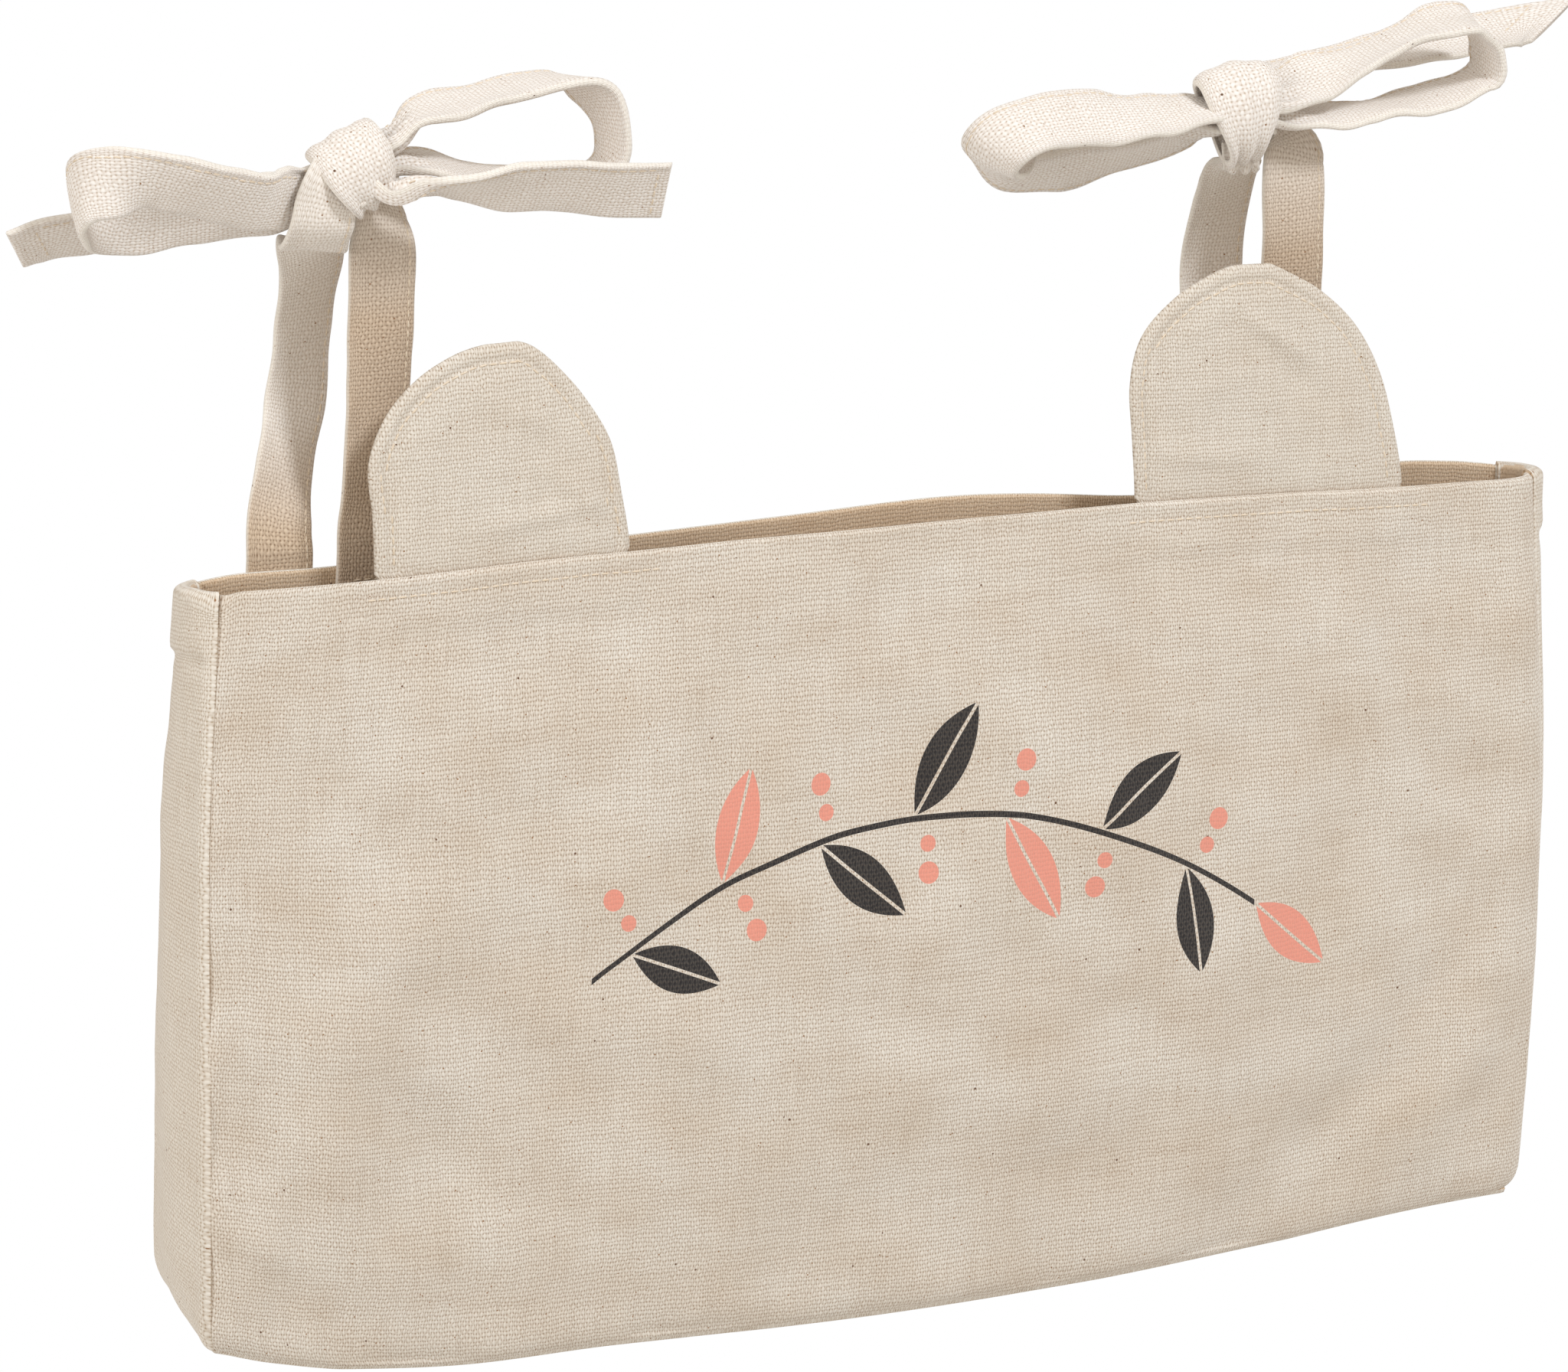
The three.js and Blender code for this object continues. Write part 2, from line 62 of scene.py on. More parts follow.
# %% Nodes and colours
def to_linear(hex_colour):
    def channel(text):
        value = int(text, 16) / 255
        return value / 12.92 if value <= 0.04045 else ((value + 0.055) / 1.055) ** 2.4

    return tuple(channel(hex_colour[k : k + 2]) for k in (1, 3, 5)) + (1.0,)


def add_node(tree, kind, *inputs, named=None, **settings):
    """Adds a node and fills its inputs. A node given as an input means that node's first output."""
    item = tree.nodes.new("ShaderNode" + kind)
    for key, value in settings.items():
        setattr(item, key, value)
    for key, value in [*enumerate(inputs), *(named or {}).items()]:
        if isinstance(value, bpy.types.Node):
            value = value.outputs[0]
        if isinstance(value, bpy.types.NodeSocket):
            tree.links.new(value, item.inputs[key])
        else:
            item.inputs[key].default_value = value
    return item


def new_material(name):
    material = bpy.data.materials.new(name)
    material.use_nodes = True
    material.node_tree.nodes.clear()
    return material


# %% World
AMBIENT = 0.6
world = bpy.data.worlds.new("studio")
bpy.context.scene.world = world
world.use_nodes = True
tree = world.node_tree
tree.nodes.clear()
ray = add_node(tree, "LightPath")
seen = 0.0
for kind in ("Camera", "Glossy", "Transmission"):
    seen = add_node(tree, "Math", ray.outputs[f"Is {kind} Ray"], seen, operation="MAXIMUM")
tint = add_node(
    tree, "Mix", named={"Factor": seen, "A": to_linear("#fff5e8"), "B": (1, 1, 1, 1)}, data_type="RGBA"
)
strength = add_node(tree, "Math", seen, 1 - AMBIENT, AMBIENT, operation="MULTIPLY_ADD")
sky = add_node(tree, "Background", tint.outputs["Result"], strength)
add_node(tree, "OutputWorld", sky)
print("world strength", AMBIENT)

# %% Floor
FLOOR_LEVEL = -0.9
bpy.ops.mesh.primitive_plane_add(size=2.2, location=(0, 0, FLOOR_LEVEL))
floor = bpy.context.object
floor.name = "floor"
paint = new_material("white studio floor")
matt = {"Base Color": to_linear("#efeeec"), "Roughness": 0.8}
add_node(paint.node_tree, "OutputMaterial", add_node(paint.node_tree, "BsdfPrincipled", named=matt))
floor.data.materials.append(paint)
print("floor at", FLOOR_LEVEL, "m")


# %% Lamps
LIT_SPOT = Vector((0, 0, -0.03))


def soft_light(name, place, size, watts, colour):
    bpy.ops.object.light_add(type="AREA", location=place)
    lamp = bpy.context.object
    lamp.name = name
    lamp.data.shape = "DISK"
    lamp.data.size = size
    lamp.data.energy = watts
    lamp.data.color = to_linear(colour)[:3]
    lamp.rotation_euler = (LIT_SPOT - Vector(place)).to_track_quat("-Z", "Y").to_euler()
    print(name, watts, "W")


soft_light("lamp above", (0.9, -1.8, 2.5), 0.7, 56, "#f6faff")
soft_light("lamp at the left", (-2.0, -0.6, 0.7), 1.2, 16, "#ffffff")

# %% Camera
CAMERA_PLACE = (-1.0672, -2.2138, 0.7387)
CAMERA_TURN = (25.29, -17.79, 3.0)
FOCAL_PIXELS = 12150.9
PICTURE_WIDTH = 2048
SENSOR_WIDTH = 36
bpy.ops.object.camera_add()
camera = bpy.context.object
camera.name = "camera"
camera.data.sensor_width = SENSOR_WIDTH
camera.data.lens = SENSOR_WIDTH * FOCAL_PIXELS / PICTURE_WIDTH
camera.data.clip_end = 20
yaw, pitch, roll = (math.radians(a) for a in CAMERA_TURN)
ahead = Vector((math.sin(yaw) * math.cos(pitch), math.cos(yaw) * math.cos(pitch), math.sin(pitch)))
level = ahead.cross(Vector((0, 0, 1))).normalized()
above = level.cross(ahead)
right = level * math.cos(roll) + above * math.sin(roll)
up = above * math.cos(roll) - level * math.sin(roll)
camera.matrix_world = Matrix.Translation(CAMERA_PLACE) @ Matrix((right, up, -ahead)).transposed().to_4x4()
bpy.context.scene.camera = camera
bpy.context.scene.view_settings.view_transform = "Standard"
print("camera lens", round(camera.data.lens), "mm")

# %% [markdown]
# ## Canvas
# Plain-woven natural cotton: every thread goes over one and under the next, so the top of each
# float is a pale oval, staggered from row to row, with a small dark hole at each crossing of the
# gaps. The threads are 0.77 mm apart across the cloth and 1.14 mm apart along it. Cotton left
# unbleached is a warm off-white with thick and thin places in the yarn and a few brown specks of
# seed. An image of cloth would blur close up. So the two sets of threads are two height waves in
# the cloth's own millimetres, and the higher one shows.

# %% Weave
WARP = 0.77
WEFT = 1.14
WARP_SHAPE = (0.75, 0.45)
WEFT_SHAPE = (0.52, -0.42)


def thread_waves(tree, place):
    """Height of the woven surface, the pores between threads, and which set of threads is on top."""
    split = add_node(tree, "SeparateXYZ", place)
    turn_u = add_node(tree, "Math", split.outputs[0], math.pi / WARP, operation="MULTIPLY")
    turn_v = add_node(tree, "Math", split.outputs[1], math.pi / WEFT, operation="MULTIPLY")
    wave_u = add_node(tree, "Math", turn_u, operation="SINE")
    wave_v = add_node(tree, "Math", turn_v, operation="SINE")
    heights = []
    gaps = []
    for own, other, (crown, over) in ((wave_u, wave_v, WARP_SHAPE), (wave_v, wave_u, WEFT_SHAPE)):
        size = add_node(tree, "Math", own, operation="ABSOLUTE")
        gaps.append(add_node(tree, "Math", 1.0, size, operation="SUBTRACT"))
        round_top = add_node(tree, "Math", size, 0.6, operation="POWER")
        side = add_node(tree, "Math", own, operation="SIGN")
        bent = add_node(tree, "Math", side, other, operation="MULTIPLY")
        lifted = add_node(tree, "Math", bent, over, operation="MULTIPLY")
        heights.append(add_node(tree, "Math", round_top, crown, lifted, operation="MULTIPLY_ADD"))
    pore = add_node(tree, "Math", *gaps, operation="MULTIPLY")
    float_side = add_node(tree, "Math", wave_u, wave_v, operation="MULTIPLY")
    return add_node(tree, "Math", *heights, operation="MAXIMUM"), pore, float_side


print("threads", WARP, "by", WEFT, "mm")


# %% Uneven yarn, stains and specks
def yarn_noise(tree, uv, stretch, detail=2.0):
    spread = add_node(tree, "Mapping", uv, named={"Scale": (*stretch, 1)})
    return add_node(tree, "TexNoise", named={"Vector": spread, "Scale": 1.0, "Detail": detail})


def seed_specks(tree, uv, cell, radius, share):
    """Round specks of a radius in mm, in a share of cells of the given size."""
    cells = add_node(tree, "TexVoronoi", named={"Vector": uv, "Scale": 1 / cell})
    near = add_node(tree, "Math", cells.outputs["Distance"], radius / cell, operation="LESS_THAN")
    chance = add_node(tree, "SeparateColor", cells.outputs["Color"])
    chosen = add_node(tree, "Math", chance, 1 - share, operation="GREATER_THAN")
    return add_node(tree, "Math", near, chosen, operation="MULTIPLY")


# %% Light and dark of the threads
THREAD_WAVER = 1.3
LIGHT_START = -0.1
HEIGHT_SHARE, FLOAT_SHARE, PORE_SHARE, YARN_SHARE = 0.25, 0.16, -0.85, 0.85


def thread_light(tree, uv):
    """From 0 in the gaps to 1 on top of a thread, with uneven yarn; and the height of the weave."""
    drift = add_node(tree, "TexNoise", named={"Vector": uv, "Scale": 0.3, "Detail": 1.0})
    centred = add_node(tree, "VectorMath", drift.outputs["Color"], (0.5, 0.5, 0.5), operation="SUBTRACT")
    waver = (THREAD_WAVER, THREAD_WAVER, 0)
    moved = add_node(tree, "VectorMath", centred, waver, uv, operation="MULTIPLY_ADD")
    height, pore, float_side = thread_waves(tree, moved)
    slub_u = yarn_noise(tree, uv, (1.0 / WARP, 0.05))
    slub_v = yarn_noise(tree, uv, (0.04, 1.0 / WEFT))
    fuzz = yarn_noise(tree, uv, (1.7, 1.7), 3.0)
    slubs = add_node(tree, "Math", slub_u, slub_v, operation="ADD")
    yarn = add_node(tree, "Math", slubs, 0.4, fuzz, operation="MULTIPLY_ADD")
    light = LIGHT_START
    for part, share in (
        (height, HEIGHT_SHARE), (float_side, FLOAT_SHARE), (pore, PORE_SHARE), (yarn, YARN_SHARE)
    ):
        light = add_node(tree, "Math", part, share, light, operation="MULTIPLY_ADD")
    light.use_clamp = True
    return light, height


# %% [markdown]
# The light and dark of the threads picks a colour between that of the gaps and that of the thread
# tops. Broad stains warm it, and what lies on the cloth is laid over it in coats: the pale upper
# part of a leg over its painted shade, paler fold edges, seed specks and ink.

# %% Canvas
STAIN = "#d6bd9c"
# The strap's colour as lit, laid over a leg's painted shade near its knot.
LIT_STRAP_TONES = ("#c6b7a6", "#f5f0ea")
# A strap is paler along its two fold edges.
FOLD_EDGE_TONE = "#fbf7ee"
# How far apart the folds lie round a strap, in mm.
EDGE_REPEAT = 21.0
# Cell and radius in mm, the share of cells with a speck, and its colour.
SPECKS = (((8.0, 0.34, 0.4), "#6d4f3a"), ((2.9, 0.24, 0.5), "#997657"))


def canvas(name, base, gap, warm, prints=(), edge=False, fade=None):
    """Woven cotton. A strap is paler along its fold edges (edge), and a leg's painted shade turns from tan
    to pale (fade, mm).
    """
    material = new_material(name)
    tree = material.node_tree
    uv = add_node(tree, "UVMap", uv_map="UVMap")
    light, height = thread_light(tree, uv)

    def threads(low, high):
        ends = {"Factor": light, "A": to_linear(low), "B": to_linear(high)}
        return add_node(tree, "Mix", named=ends, data_type="RGBA").outputs["Result"]

    broad = yarn_noise(tree, uv, (0.035, 0.045), 3.0)
    stain = add_node(tree, "Math", broad, warm, 0.02 - 0.35 * warm, operation="MULTIPLY_ADD", use_clamp=True)
    colour = add_node(
        tree, "Mix", named={"Factor": stain, "A": threads(gap, base), "B": to_linear(STAIN)},
        data_type="RGBA", blend_type="MULTIPLY",
    ).outputs["Result"]
    coats = []
    if edge:
        place = add_node(tree, "SeparateXYZ", uv)
        # A leg's painted shade turns to the strap's lit colour towards its knot.
        if fade:
            up = add_node(tree, "MapRange", place.outputs[1], *fade, 0.0, 1.0)
            coats.append((up, threads(*LIT_STRAP_TONES)))
        around = add_node(tree, "Math", place.outputs[0], 2 * math.pi / EDGE_REPEAT, operation="MULTIPLY")
        at_edge = add_node(tree, "Math", around, operation="COSINE")
        coats.append((add_node(tree, "MapRange", at_edge, 0.8, 0.96, 0.0, 0.55), to_linear(FOLD_EDGE_TONE)))
    for size, speck in SPECKS:
        coats.append((seed_specks(tree, uv, *size), to_linear(speck)))
    soaked_in = add_node(tree, "Math", light, 0.2, 0.82, operation="MULTIPLY_ADD", use_clamp=True)
    for ink, shapes in prints:
        covered = 0.0
        for shape in shapes:
            covered = add_node(tree, "Math", print_shape(tree, uv, *shape), covered, operation="MAXIMUM")
        coats.append((add_node(tree, "Math", covered, soaked_in, operation="MULTIPLY"), to_linear(ink)))
    for share, coat in coats:
        laid = {"Factor": share, "A": colour, "B": coat}
        colour = add_node(tree, "Mix", named=laid, data_type="RGBA").outputs["Result"]
    raised = add_node(tree, "Bump", named={"Height": height, "Strength": 0.7, "Distance": 0.00024})
    shader = add_node(
        tree, "BsdfPrincipled",
        named={"Base Color": colour, "Roughness": 0.92, "Specular IOR Level": 0.12, "Normal": raised,
               "Sheen Weight": 0.3, "Sheen Roughness": 0.6},
    )
    add_node(tree, "OutputMaterial", shader)
    print(name, len(tree.nodes), "nodes")
    return material


# %% [markdown]
# The front panel has a plain two-colour print: a branch with charcoal and salmon leaves, and
# berries. Each leaf is a mask in its own turned and scaled coordinates, where a leaf is all points
# whose height is under a parabola, with its midrib left bare. Ink lies on the top of the threads.


# %% Print shapes
MIDRIB = 0.07
STEM_HALF_WIDTH = 0.8


def print_shape(tree, uv, kind, centre, size, turn):
    """A mask of a leaf, a berry or a stem: centre and half size in mm, turn in degrees."""
    own = add_node(
        tree, "Mapping", uv,
        named={"Location": (*centre, 0), "Rotation": (0, 0, math.radians(turn)), "Scale": (*size, 1)},
        vector_type="TEXTURE",
    )
    if kind == "berry":
        reach = add_node(tree, "VectorMath", own, operation="LENGTH").outputs["Value"]
        return add_node(tree, "Math", reach, 1.0, operation="LESS_THAN")
    split = add_node(tree, "SeparateXYZ", own)
    square = add_node(tree, "Math", split.outputs[0], split.outputs[0], operation="MULTIPLY")
    if kind == "stem":
        off = add_node(tree, "Math", split.outputs[1], square, operation="ADD")
        line = add_node(tree, "Math", off, 0.0, STEM_HALF_WIDTH / size[1], operation="COMPARE")
        ends = add_node(tree, "Math", square, 1.0, operation="LESS_THAN")
        return add_node(tree, "Math", line, ends, operation="MULTIPLY")
    off = add_node(tree, "Math", split.outputs[1], operation="ABSOLUTE")
    rise = add_node(tree, "Math", off, square, operation="ADD")
    inside = add_node(tree, "Math", rise, 1.0, operation="LESS_THAN")
    beside = add_node(tree, "Math", off, MIDRIB, operation="GREATER_THAN")
    return add_node(tree, "Math", inside, beside, operation="MULTIPLY")


# %% The printed branch
STEM_MIDDLE = (208, 134)
STEM_SIZE = (100, 34)
LEAF_TILT = 52
BERRIES = ((8, 2.2, 58), (15, 2.9, 74))


def beyond(x, y, reach, degrees):
    return x + reach * math.cos(math.radians(degrees)), y + reach * math.sin(math.radians(degrees))


charcoal = [("stem", STEM_MIDDLE, STEM_SIZE, 0)]
salmon = []
for k, along in enumerate((-0.9, -0.62, -0.34, -0.06, 0.22, 0.5, 0.78)):
    x = STEM_MIDDLE[0] + along * STEM_SIZE[0]
    y = STEM_MIDDLE[1] - along**2 * STEM_SIZE[1]
    slope = math.degrees(math.atan2(-2 * along * STEM_SIZE[1], STEM_SIZE[0]))
    way = 1 if k % 2 else -1
    turn = slope + way * LEAF_TILT
    length = 17 - 3 * abs(along)
    leaf = ("leaf", beyond(x, y, length + 1, turn), (length, 0.4 * length), turn)
    (salmon if k % 3 == 1 else charcoal).append(leaf)
    for step, radius, lean in BERRIES:
        salmon.append(("berry", beyond(x, y, step, slope - way * lean), (radius, radius), 0))
salmon.append(("leaf", (STEM_MIDDLE[0] + 112, STEM_MIDDLE[1] - 44), (15, 6), -40))
print(len(charcoal), "charcoal and", len(salmon), "salmon shapes")

# %% [markdown]
# One canvas, in the tones that its places have: the printed front, the gussets, the inside, the
# ears and the bows. The legs are the bows' strap with painted shade: tanner low down, where shade
# and warm bounce fall, and paler near the knots.

# %% The seven canvases
INKS = [("#1d191a", charcoal), ("#ea9a88", salmon)]
# Place, colour of the thread tops and of the gaps, how much is stained, and what else it has.
TONES = {
    "canvas_front": ("printed front", "#e8e3da", "#9f866c", 0.75, dict(prints=INKS)),
    "canvas_side": ("gussets", "#e8e3da", "#ab957a", 0.3, {}),
    "canvas_inside": ("inside", "#e3cfb6", "#a98a66", 0.6, {}),
    "canvas_ear": ("ears", "#e6e1d8", "#a59078", 0.4, {}),
    "strap": ("bows", "#f6f3f0", "#c4b29f", 0.15, dict(edge=True)),
    # The legs: tan painted shade, turning to the strap's lit colour over the run in mm given as fade.
    "strap_front": ("front legs, painted shade", "#d8c6b1", "#8a6f55", 0.4, dict(edge=True, fade=(98.0, 142.0))),
    "strap_rear": ("rear legs, painted shade", "#d8c4ac", "#8a6f55", 0.3, dict(edge=True, fade=(38.0, 70.0))),
}
cloths = {
    slot: canvas("cotton canvas, " + place, base, gap, warm, **more)
    for slot, (place, base, gap, warm, more) in TONES.items()
}

# %% [markdown]
# The sewing thread is twisted cotton, a little yellower and smoother than the canvas. Its twist is
# finer than the picture shows, so it has fine light and dark instead, 0.5 mm across.

# %% Thread
thread = new_material("cotton sewing thread")
tree = thread.node_tree
spot = add_node(tree, "TexCoord")
twist = add_node(tree, "TexNoise", named={"Vector": spot.outputs["Object"], "Scale": 2000.0, "Detail": 1.0})
tones = {"Factor": twist, "A": to_linear("#cdb697"), "B": to_linear("#f2e9da")}
shade = add_node(tree, "Mix", named=tones, data_type="RGBA").outputs["Result"]
spun = add_node(
    tree, "BsdfPrincipled", named={"Base Color": shade, "Roughness": 0.75, "Sheen Weight": 0.2}
)
add_node(tree, "OutputMaterial", spun)
print(thread.name, len(tree.nodes), "nodes")

# %% [markdown]
# ## Sizes and shapes
# The shapes are written in millimetres, as in the CAD, and become metres where a mesh is made. The
# rims and the lower edge are soft waves through a few listed points.

# %% Sizes of the pocket
MM = 0.001
CANVAS = 1.1
HEM_SLOT = 0.4
HEM_DEPTH = 16.0
SEAM_GAP = 0.2
FIT = 0.3
HALF_RIM = 199.5
HALF_BODY = 202.0
BODY_HEIGHT = 207.0
BOTTOM_RISE = 9.0
DEPTH_RIM = 22.0
DEPTH_BOTTOM = 40.0
RIM_BELLY = 6.0
FRONT_BELLY = 5.0
RIM_LEVEL = 3.2
SIDE_SWELL = 1.5
GUSSET_BULGE = 5.0
FOLD_RADIUS = CANVAS + HEM_SLOT / 2
RIM_THICKNESS = 2 * FOLD_RADIUS
STRAP_WIDTH = 19.0
STRAP_THICKNESS = 2.0
print("rim thickness", RIM_THICKNESS, "mm")


# %% Small helpers for shapes
def lerp(a, b, t):
    return a + (b - a) * t


def clamp01(t):
    return min(1.0, max(0.0, t))


def smooth(t):
    c = clamp01(t)
    return c * c * (3 - 2 * c)


def bump(x, centre, spread):
    return math.exp(-(((x - centre) / spread) ** 2))


def catmull(a, b, c, d, t):
    keep = 2 * b + (c - a) * t
    return 0.5 * (keep + (2 * a - 5 * b + 4 * c - d) * t * t + (3 * b - a - 3 * c + d) * t**3)


def profile(points, at):
    """A smooth curve through points of a place and a value."""
    last = len(points) - 1
    s = next(k for k in range(last) if k == last - 1 or at < points[k + 1][0])
    t = clamp01((at - points[s][0]) / (points[s + 1][0] - points[s][0]))
    near = [points[min(last, max(0, k))][1] for k in (s - 1, s, s + 1, s + 2)]
    return catmull(*near, t)


def ripple(*place):
    """Soft unevenness between about -1 and 1."""
    return noise.noise(Vector(place))


def creases(across, along, folds):
    """Each fold has a depth, a slant, its place and width across, and its middle and length along."""
    return sum(
        depth * bump(across + slant * along, place, width) * bump(along, middle, length)
        for depth, slant, place, width, middle, length in folds
    )


# %% Rims and lower edge
FRONT_RIM = (
    (-1, 0.4), (-0.97, 0.9), (-0.78, 1.5), (-0.55, 3.8), (-0.21, 5.4), (0.26, 6.2), (0.49, 5.7),
    (0.78, 3.6), (1, 2.6),
)
BACK_RIM = (
    (-1, -2), (-0.93, -0.6), (-0.8, -0.7), (-0.35, 1.2), (-0.1, 3.1), (0.1, 4.7), (0.24, 3.7), (0.42, 0.4),
    (0.6, 0.6), (0.82, 3.9), (0.92, 2.8), (1, 0.8),
)
LOWER_EDGE = (
    (-1, 1.5), (-0.905, 6.4), (-0.8, 10.5), (-0.62, 12.8), (-0.41, 11.6), (-0.03, 11.7), (0.33, 9.3),
    (0.63, 5.1), (0.82, 1.7), (1, 0.3),
)
print("rims through", len(FRONT_RIM), "and", len(BACK_RIM), "points")

# %% [markdown]
# The front has long slanting folds from its weight, and sharper ones in its lower corners. Of each
# long fold, the last two numbers say how far down it starts and how much it fades towards the foot.


# %% Walls of the pocket
def rim_z(x, y):
    share = x / HALF_RIM
    return lerp(profile(BACK_RIM, share), profile(FRONT_RIM, share), smooth(-y / DEPTH_RIM))


def how_far_down(z):
    return clamp01((RIM_LEVEL - z) / BODY_HEIGHT)


def corner_depth(z):
    return DEPTH_RIM + (DEPTH_BOTTOM - DEPTH_RIM) * math.sin(how_far_down(z) * math.pi / 2) ** 1.1


CORNER_FOLDS = (
    (2.2, 0.25, -206, 10, -178, 34), (-1.8, 0.3, -186, 12, -168, 40),
    (-2.2, -0.9, 296, 13, -160, 42), (1.8, -0.6, 282, 11, -150, 46),
)
LONG_FOLDS = (
    (1.6, -0.4, -110, 17, 0.2, 0), (-1.4, -0.5, -30, 22, 0.2, 0.6), (1.4, 0.45, 30, 20, 0.1, 0)
)


def front_folds(x, z):
    down = clamp01(-z / BODY_HEIGHT)
    fold = creases(x, z, CORNER_FOLDS)
    for depth, slant, place, width, start, fade in LONG_FOLDS:
        fold += depth * bump(x + slant * z, place, width) * smooth((down - start) * 3) * (1 - fade * down)
    return fold


def front_y(x, z):
    across = clamp01(abs(x) / HALF_BODY)
    down = how_far_down(z)
    inner = math.cos(across * math.pi / 2)
    belly = lerp(RIM_BELLY, FRONT_BELLY, down) + 4 * math.sin(math.pi * down)
    fade = smooth((1 - across) * 8) * smooth((1 - down) * 6)
    return -corner_depth(z) - belly * inner - front_folds(x, z) * fade


def side_x(y, z):
    down = how_far_down(z)
    half = lerp(HALF_RIM, HALF_BODY, smooth(down * 2.6)) + SIDE_SWELL * math.sin(math.pi * down)
    across = clamp01(-y / corner_depth(z))
    bulge = GUSSET_BULGE * (1 - 0.35 * down) * math.sin(math.pi * across) ** 1.4
    return half + bulge * smooth((1 - down) * 8)


def bottom_z(x, y):
    front = -BODY_HEIGHT - profile(LOWER_EDGE, x / HALF_BODY)
    return front + BOTTOM_RISE * (1 - clamp01(-y / DEPTH_BOTTOM))


# %% [markdown]
# ## A piece of cloth
# A cloth simulation could drape each piece, but the photograph fixes where every fold lies. So each
# piece starts as a flat grid, as cloth does, and is laid along the surface that the real piece
# takes. Its UVs stay in millimetres of cloth, so the weave keeps its true size on every piece, and
# Solidify gives it the canvas's thickness.


# %% Make a grid of cloth
def select_only(obj):
    bpy.ops.object.select_all(action="DESELECT")
    obj.select_set(True)
    bpy.context.view_layer.objects.active = obj


def cloth_grid(name, cols, rows, place, measure, slot):
    """A grid laid out by place(col, row), with the UVs that measure(col, row) gives, all in mm."""
    bpy.ops.object.select_all(action="DESELECT")
    bpy.ops.mesh.primitive_grid_add(x_subdivisions=cols, y_subdivisions=rows, size=2)
    obj = bpy.context.object
    obj.name = name
    obj.data.name = name
    mesh = obj.data
    spots = [(round((v.co.x + 1) / 2 * cols), round((v.co.y + 1) / 2 * rows)) for v in mesh.vertices]
    for vertex, (c, r) in zip(mesh.vertices, spots):
        vertex.co = Vector(place(c, r)) * MM
    layer = mesh.uv_layers[0]
    for loop in mesh.loops:
        layer.data[loop.index].uv = measure(*spots[loop.vertex_index])
    mesh.materials.append(cloths[slot])
    # The legs are the same strap as the bows, with painted shade in tones of their own.
    print(name, cols, "by", rows)
    return obj


def make_thick(obj, thickness):
    modifier = obj.modifiers.new("cloth thickness", "SOLIDIFY")
    modifier.thickness = thickness * MM
    modifier.offset = -1
    modifier.use_even_offset = True
    select_only(obj)
    bpy.ops.object.modifier_apply(modifier=modifier.name)


def face_outward(obj):
    select_only(obj)
    bpy.ops.object.mode_set(mode="EDIT")
    bpy.ops.mesh.select_all(action="SELECT")
    bpy.ops.mesh.normals_make_consistent(inside=False)
    bpy.ops.object.mode_set(mode="OBJECT")
    bpy.ops.object.shade_smooth_by_angle(angle=math.radians(50))


def flip(obj):
    for polygon in obj.data.polygons:
        polygon.flip()


# %% [markdown]
# ## Stitches
# A row of lockstitch shows as short threads lying on the cloth, each sunk at both ends. One stitch
# is modelled as a small stretched ball and copied along the row, pressed onto the finished cloth at
# the place and slope of its nearest point.

# %% One stitch
STITCH_PITCH = 2.9
STITCH_LENGTH = 2.3
THREAD_WIDTH = 0.55
bpy.ops.object.select_all(action="DESELECT")
bpy.ops.mesh.primitive_uv_sphere_add(segments=6, ring_count=5, radius=0.5)
ball = bpy.context.object
BALL_POINTS = [v.co.copy() for v in ball.data.vertices]
BALL_FACES = [tuple(p.vertices) for p in ball.data.polygons]
bpy.data.objects.remove(ball)
print("one stitch has", len(BALL_FACES), "faces")


# %% Rows of stitches
def runs_along(line):
    """How far along a line of points each of them is."""
    return np.concatenate([[0], np.cumsum(np.linalg.norm(np.diff(line, axis=0), axis=1))])


def even_steps(points, pitch):
    """Walks along a line of points and returns a place and a direction at every pitch."""
    line = np.array([tuple(p) for p in points])
    runs = runs_along(line)
    marks = np.arange(pitch / 2, runs[-1] - pitch / 4, pitch)
    here, ahead = (
        np.stack([np.interp(marks + step, runs, line[:, k]) for k in range(3)], 1) for step in (0, 0.3)
    )
    return [(Vector(a), Vector(b - a).normalized()) for a, b in zip(here, ahead)]


# %% Sew rows onto a piece
def sew(obj, lines, facing=None):
    """Sews rows of stitches, given as lines in mm, onto the cloth and joins them to it."""
    points = []
    faces = []
    for line in lines:
        for place, along in even_steps(line, STITCH_PITCH):
            found, spot, out, _ = obj.closest_point_on_mesh(place * MM)
            if not found or (facing is not None and out.dot(facing) < 0.2):
                continue
            out = (out - along * out.dot(along)).normalized()
            side = out.cross(along)
            first = len(points)
            for p in BALL_POINTS:
                thick = (side * p.x + out * p.y) * THREAD_WIDTH
                points.append(spot + (along * (p.z * STITCH_LENGTH) + thick) * MM)
            faces += [tuple(first + k for k in face) for face in BALL_FACES]
    mesh = bpy.data.meshes.new(obj.name + " stitches")
    mesh.from_pydata(points, [], faces)
    mesh.materials.append(thread)
    row = bpy.data.objects.new(mesh.name, mesh)
    bpy.context.scene.collection.objects.link(row)
    select_only(row)
    bpy.ops.object.shade_smooth()
    obj.select_set(True)
    bpy.context.view_layer.objects.active = obj
    bpy.ops.object.join()
    print(obj.name, "has", len(faces) // len(BALL_FACES), "stitches")


# %% [markdown]
# ## Panels
# A panel runs up from the bottom seam, over the rim and down inside as a hem. Near a seam the
# cloth rolls in, because the real panels are sewn inside out and turned. The grid is fine near the
# seams and the rim, where the cloth bends sharply, and coarse in between.

# %% Steps across and up a panel
SEAM_STEPS = (0, 0.3, 0.65, 1.05, 1.5, 2.1, 2.9, 4.0, 5.5)


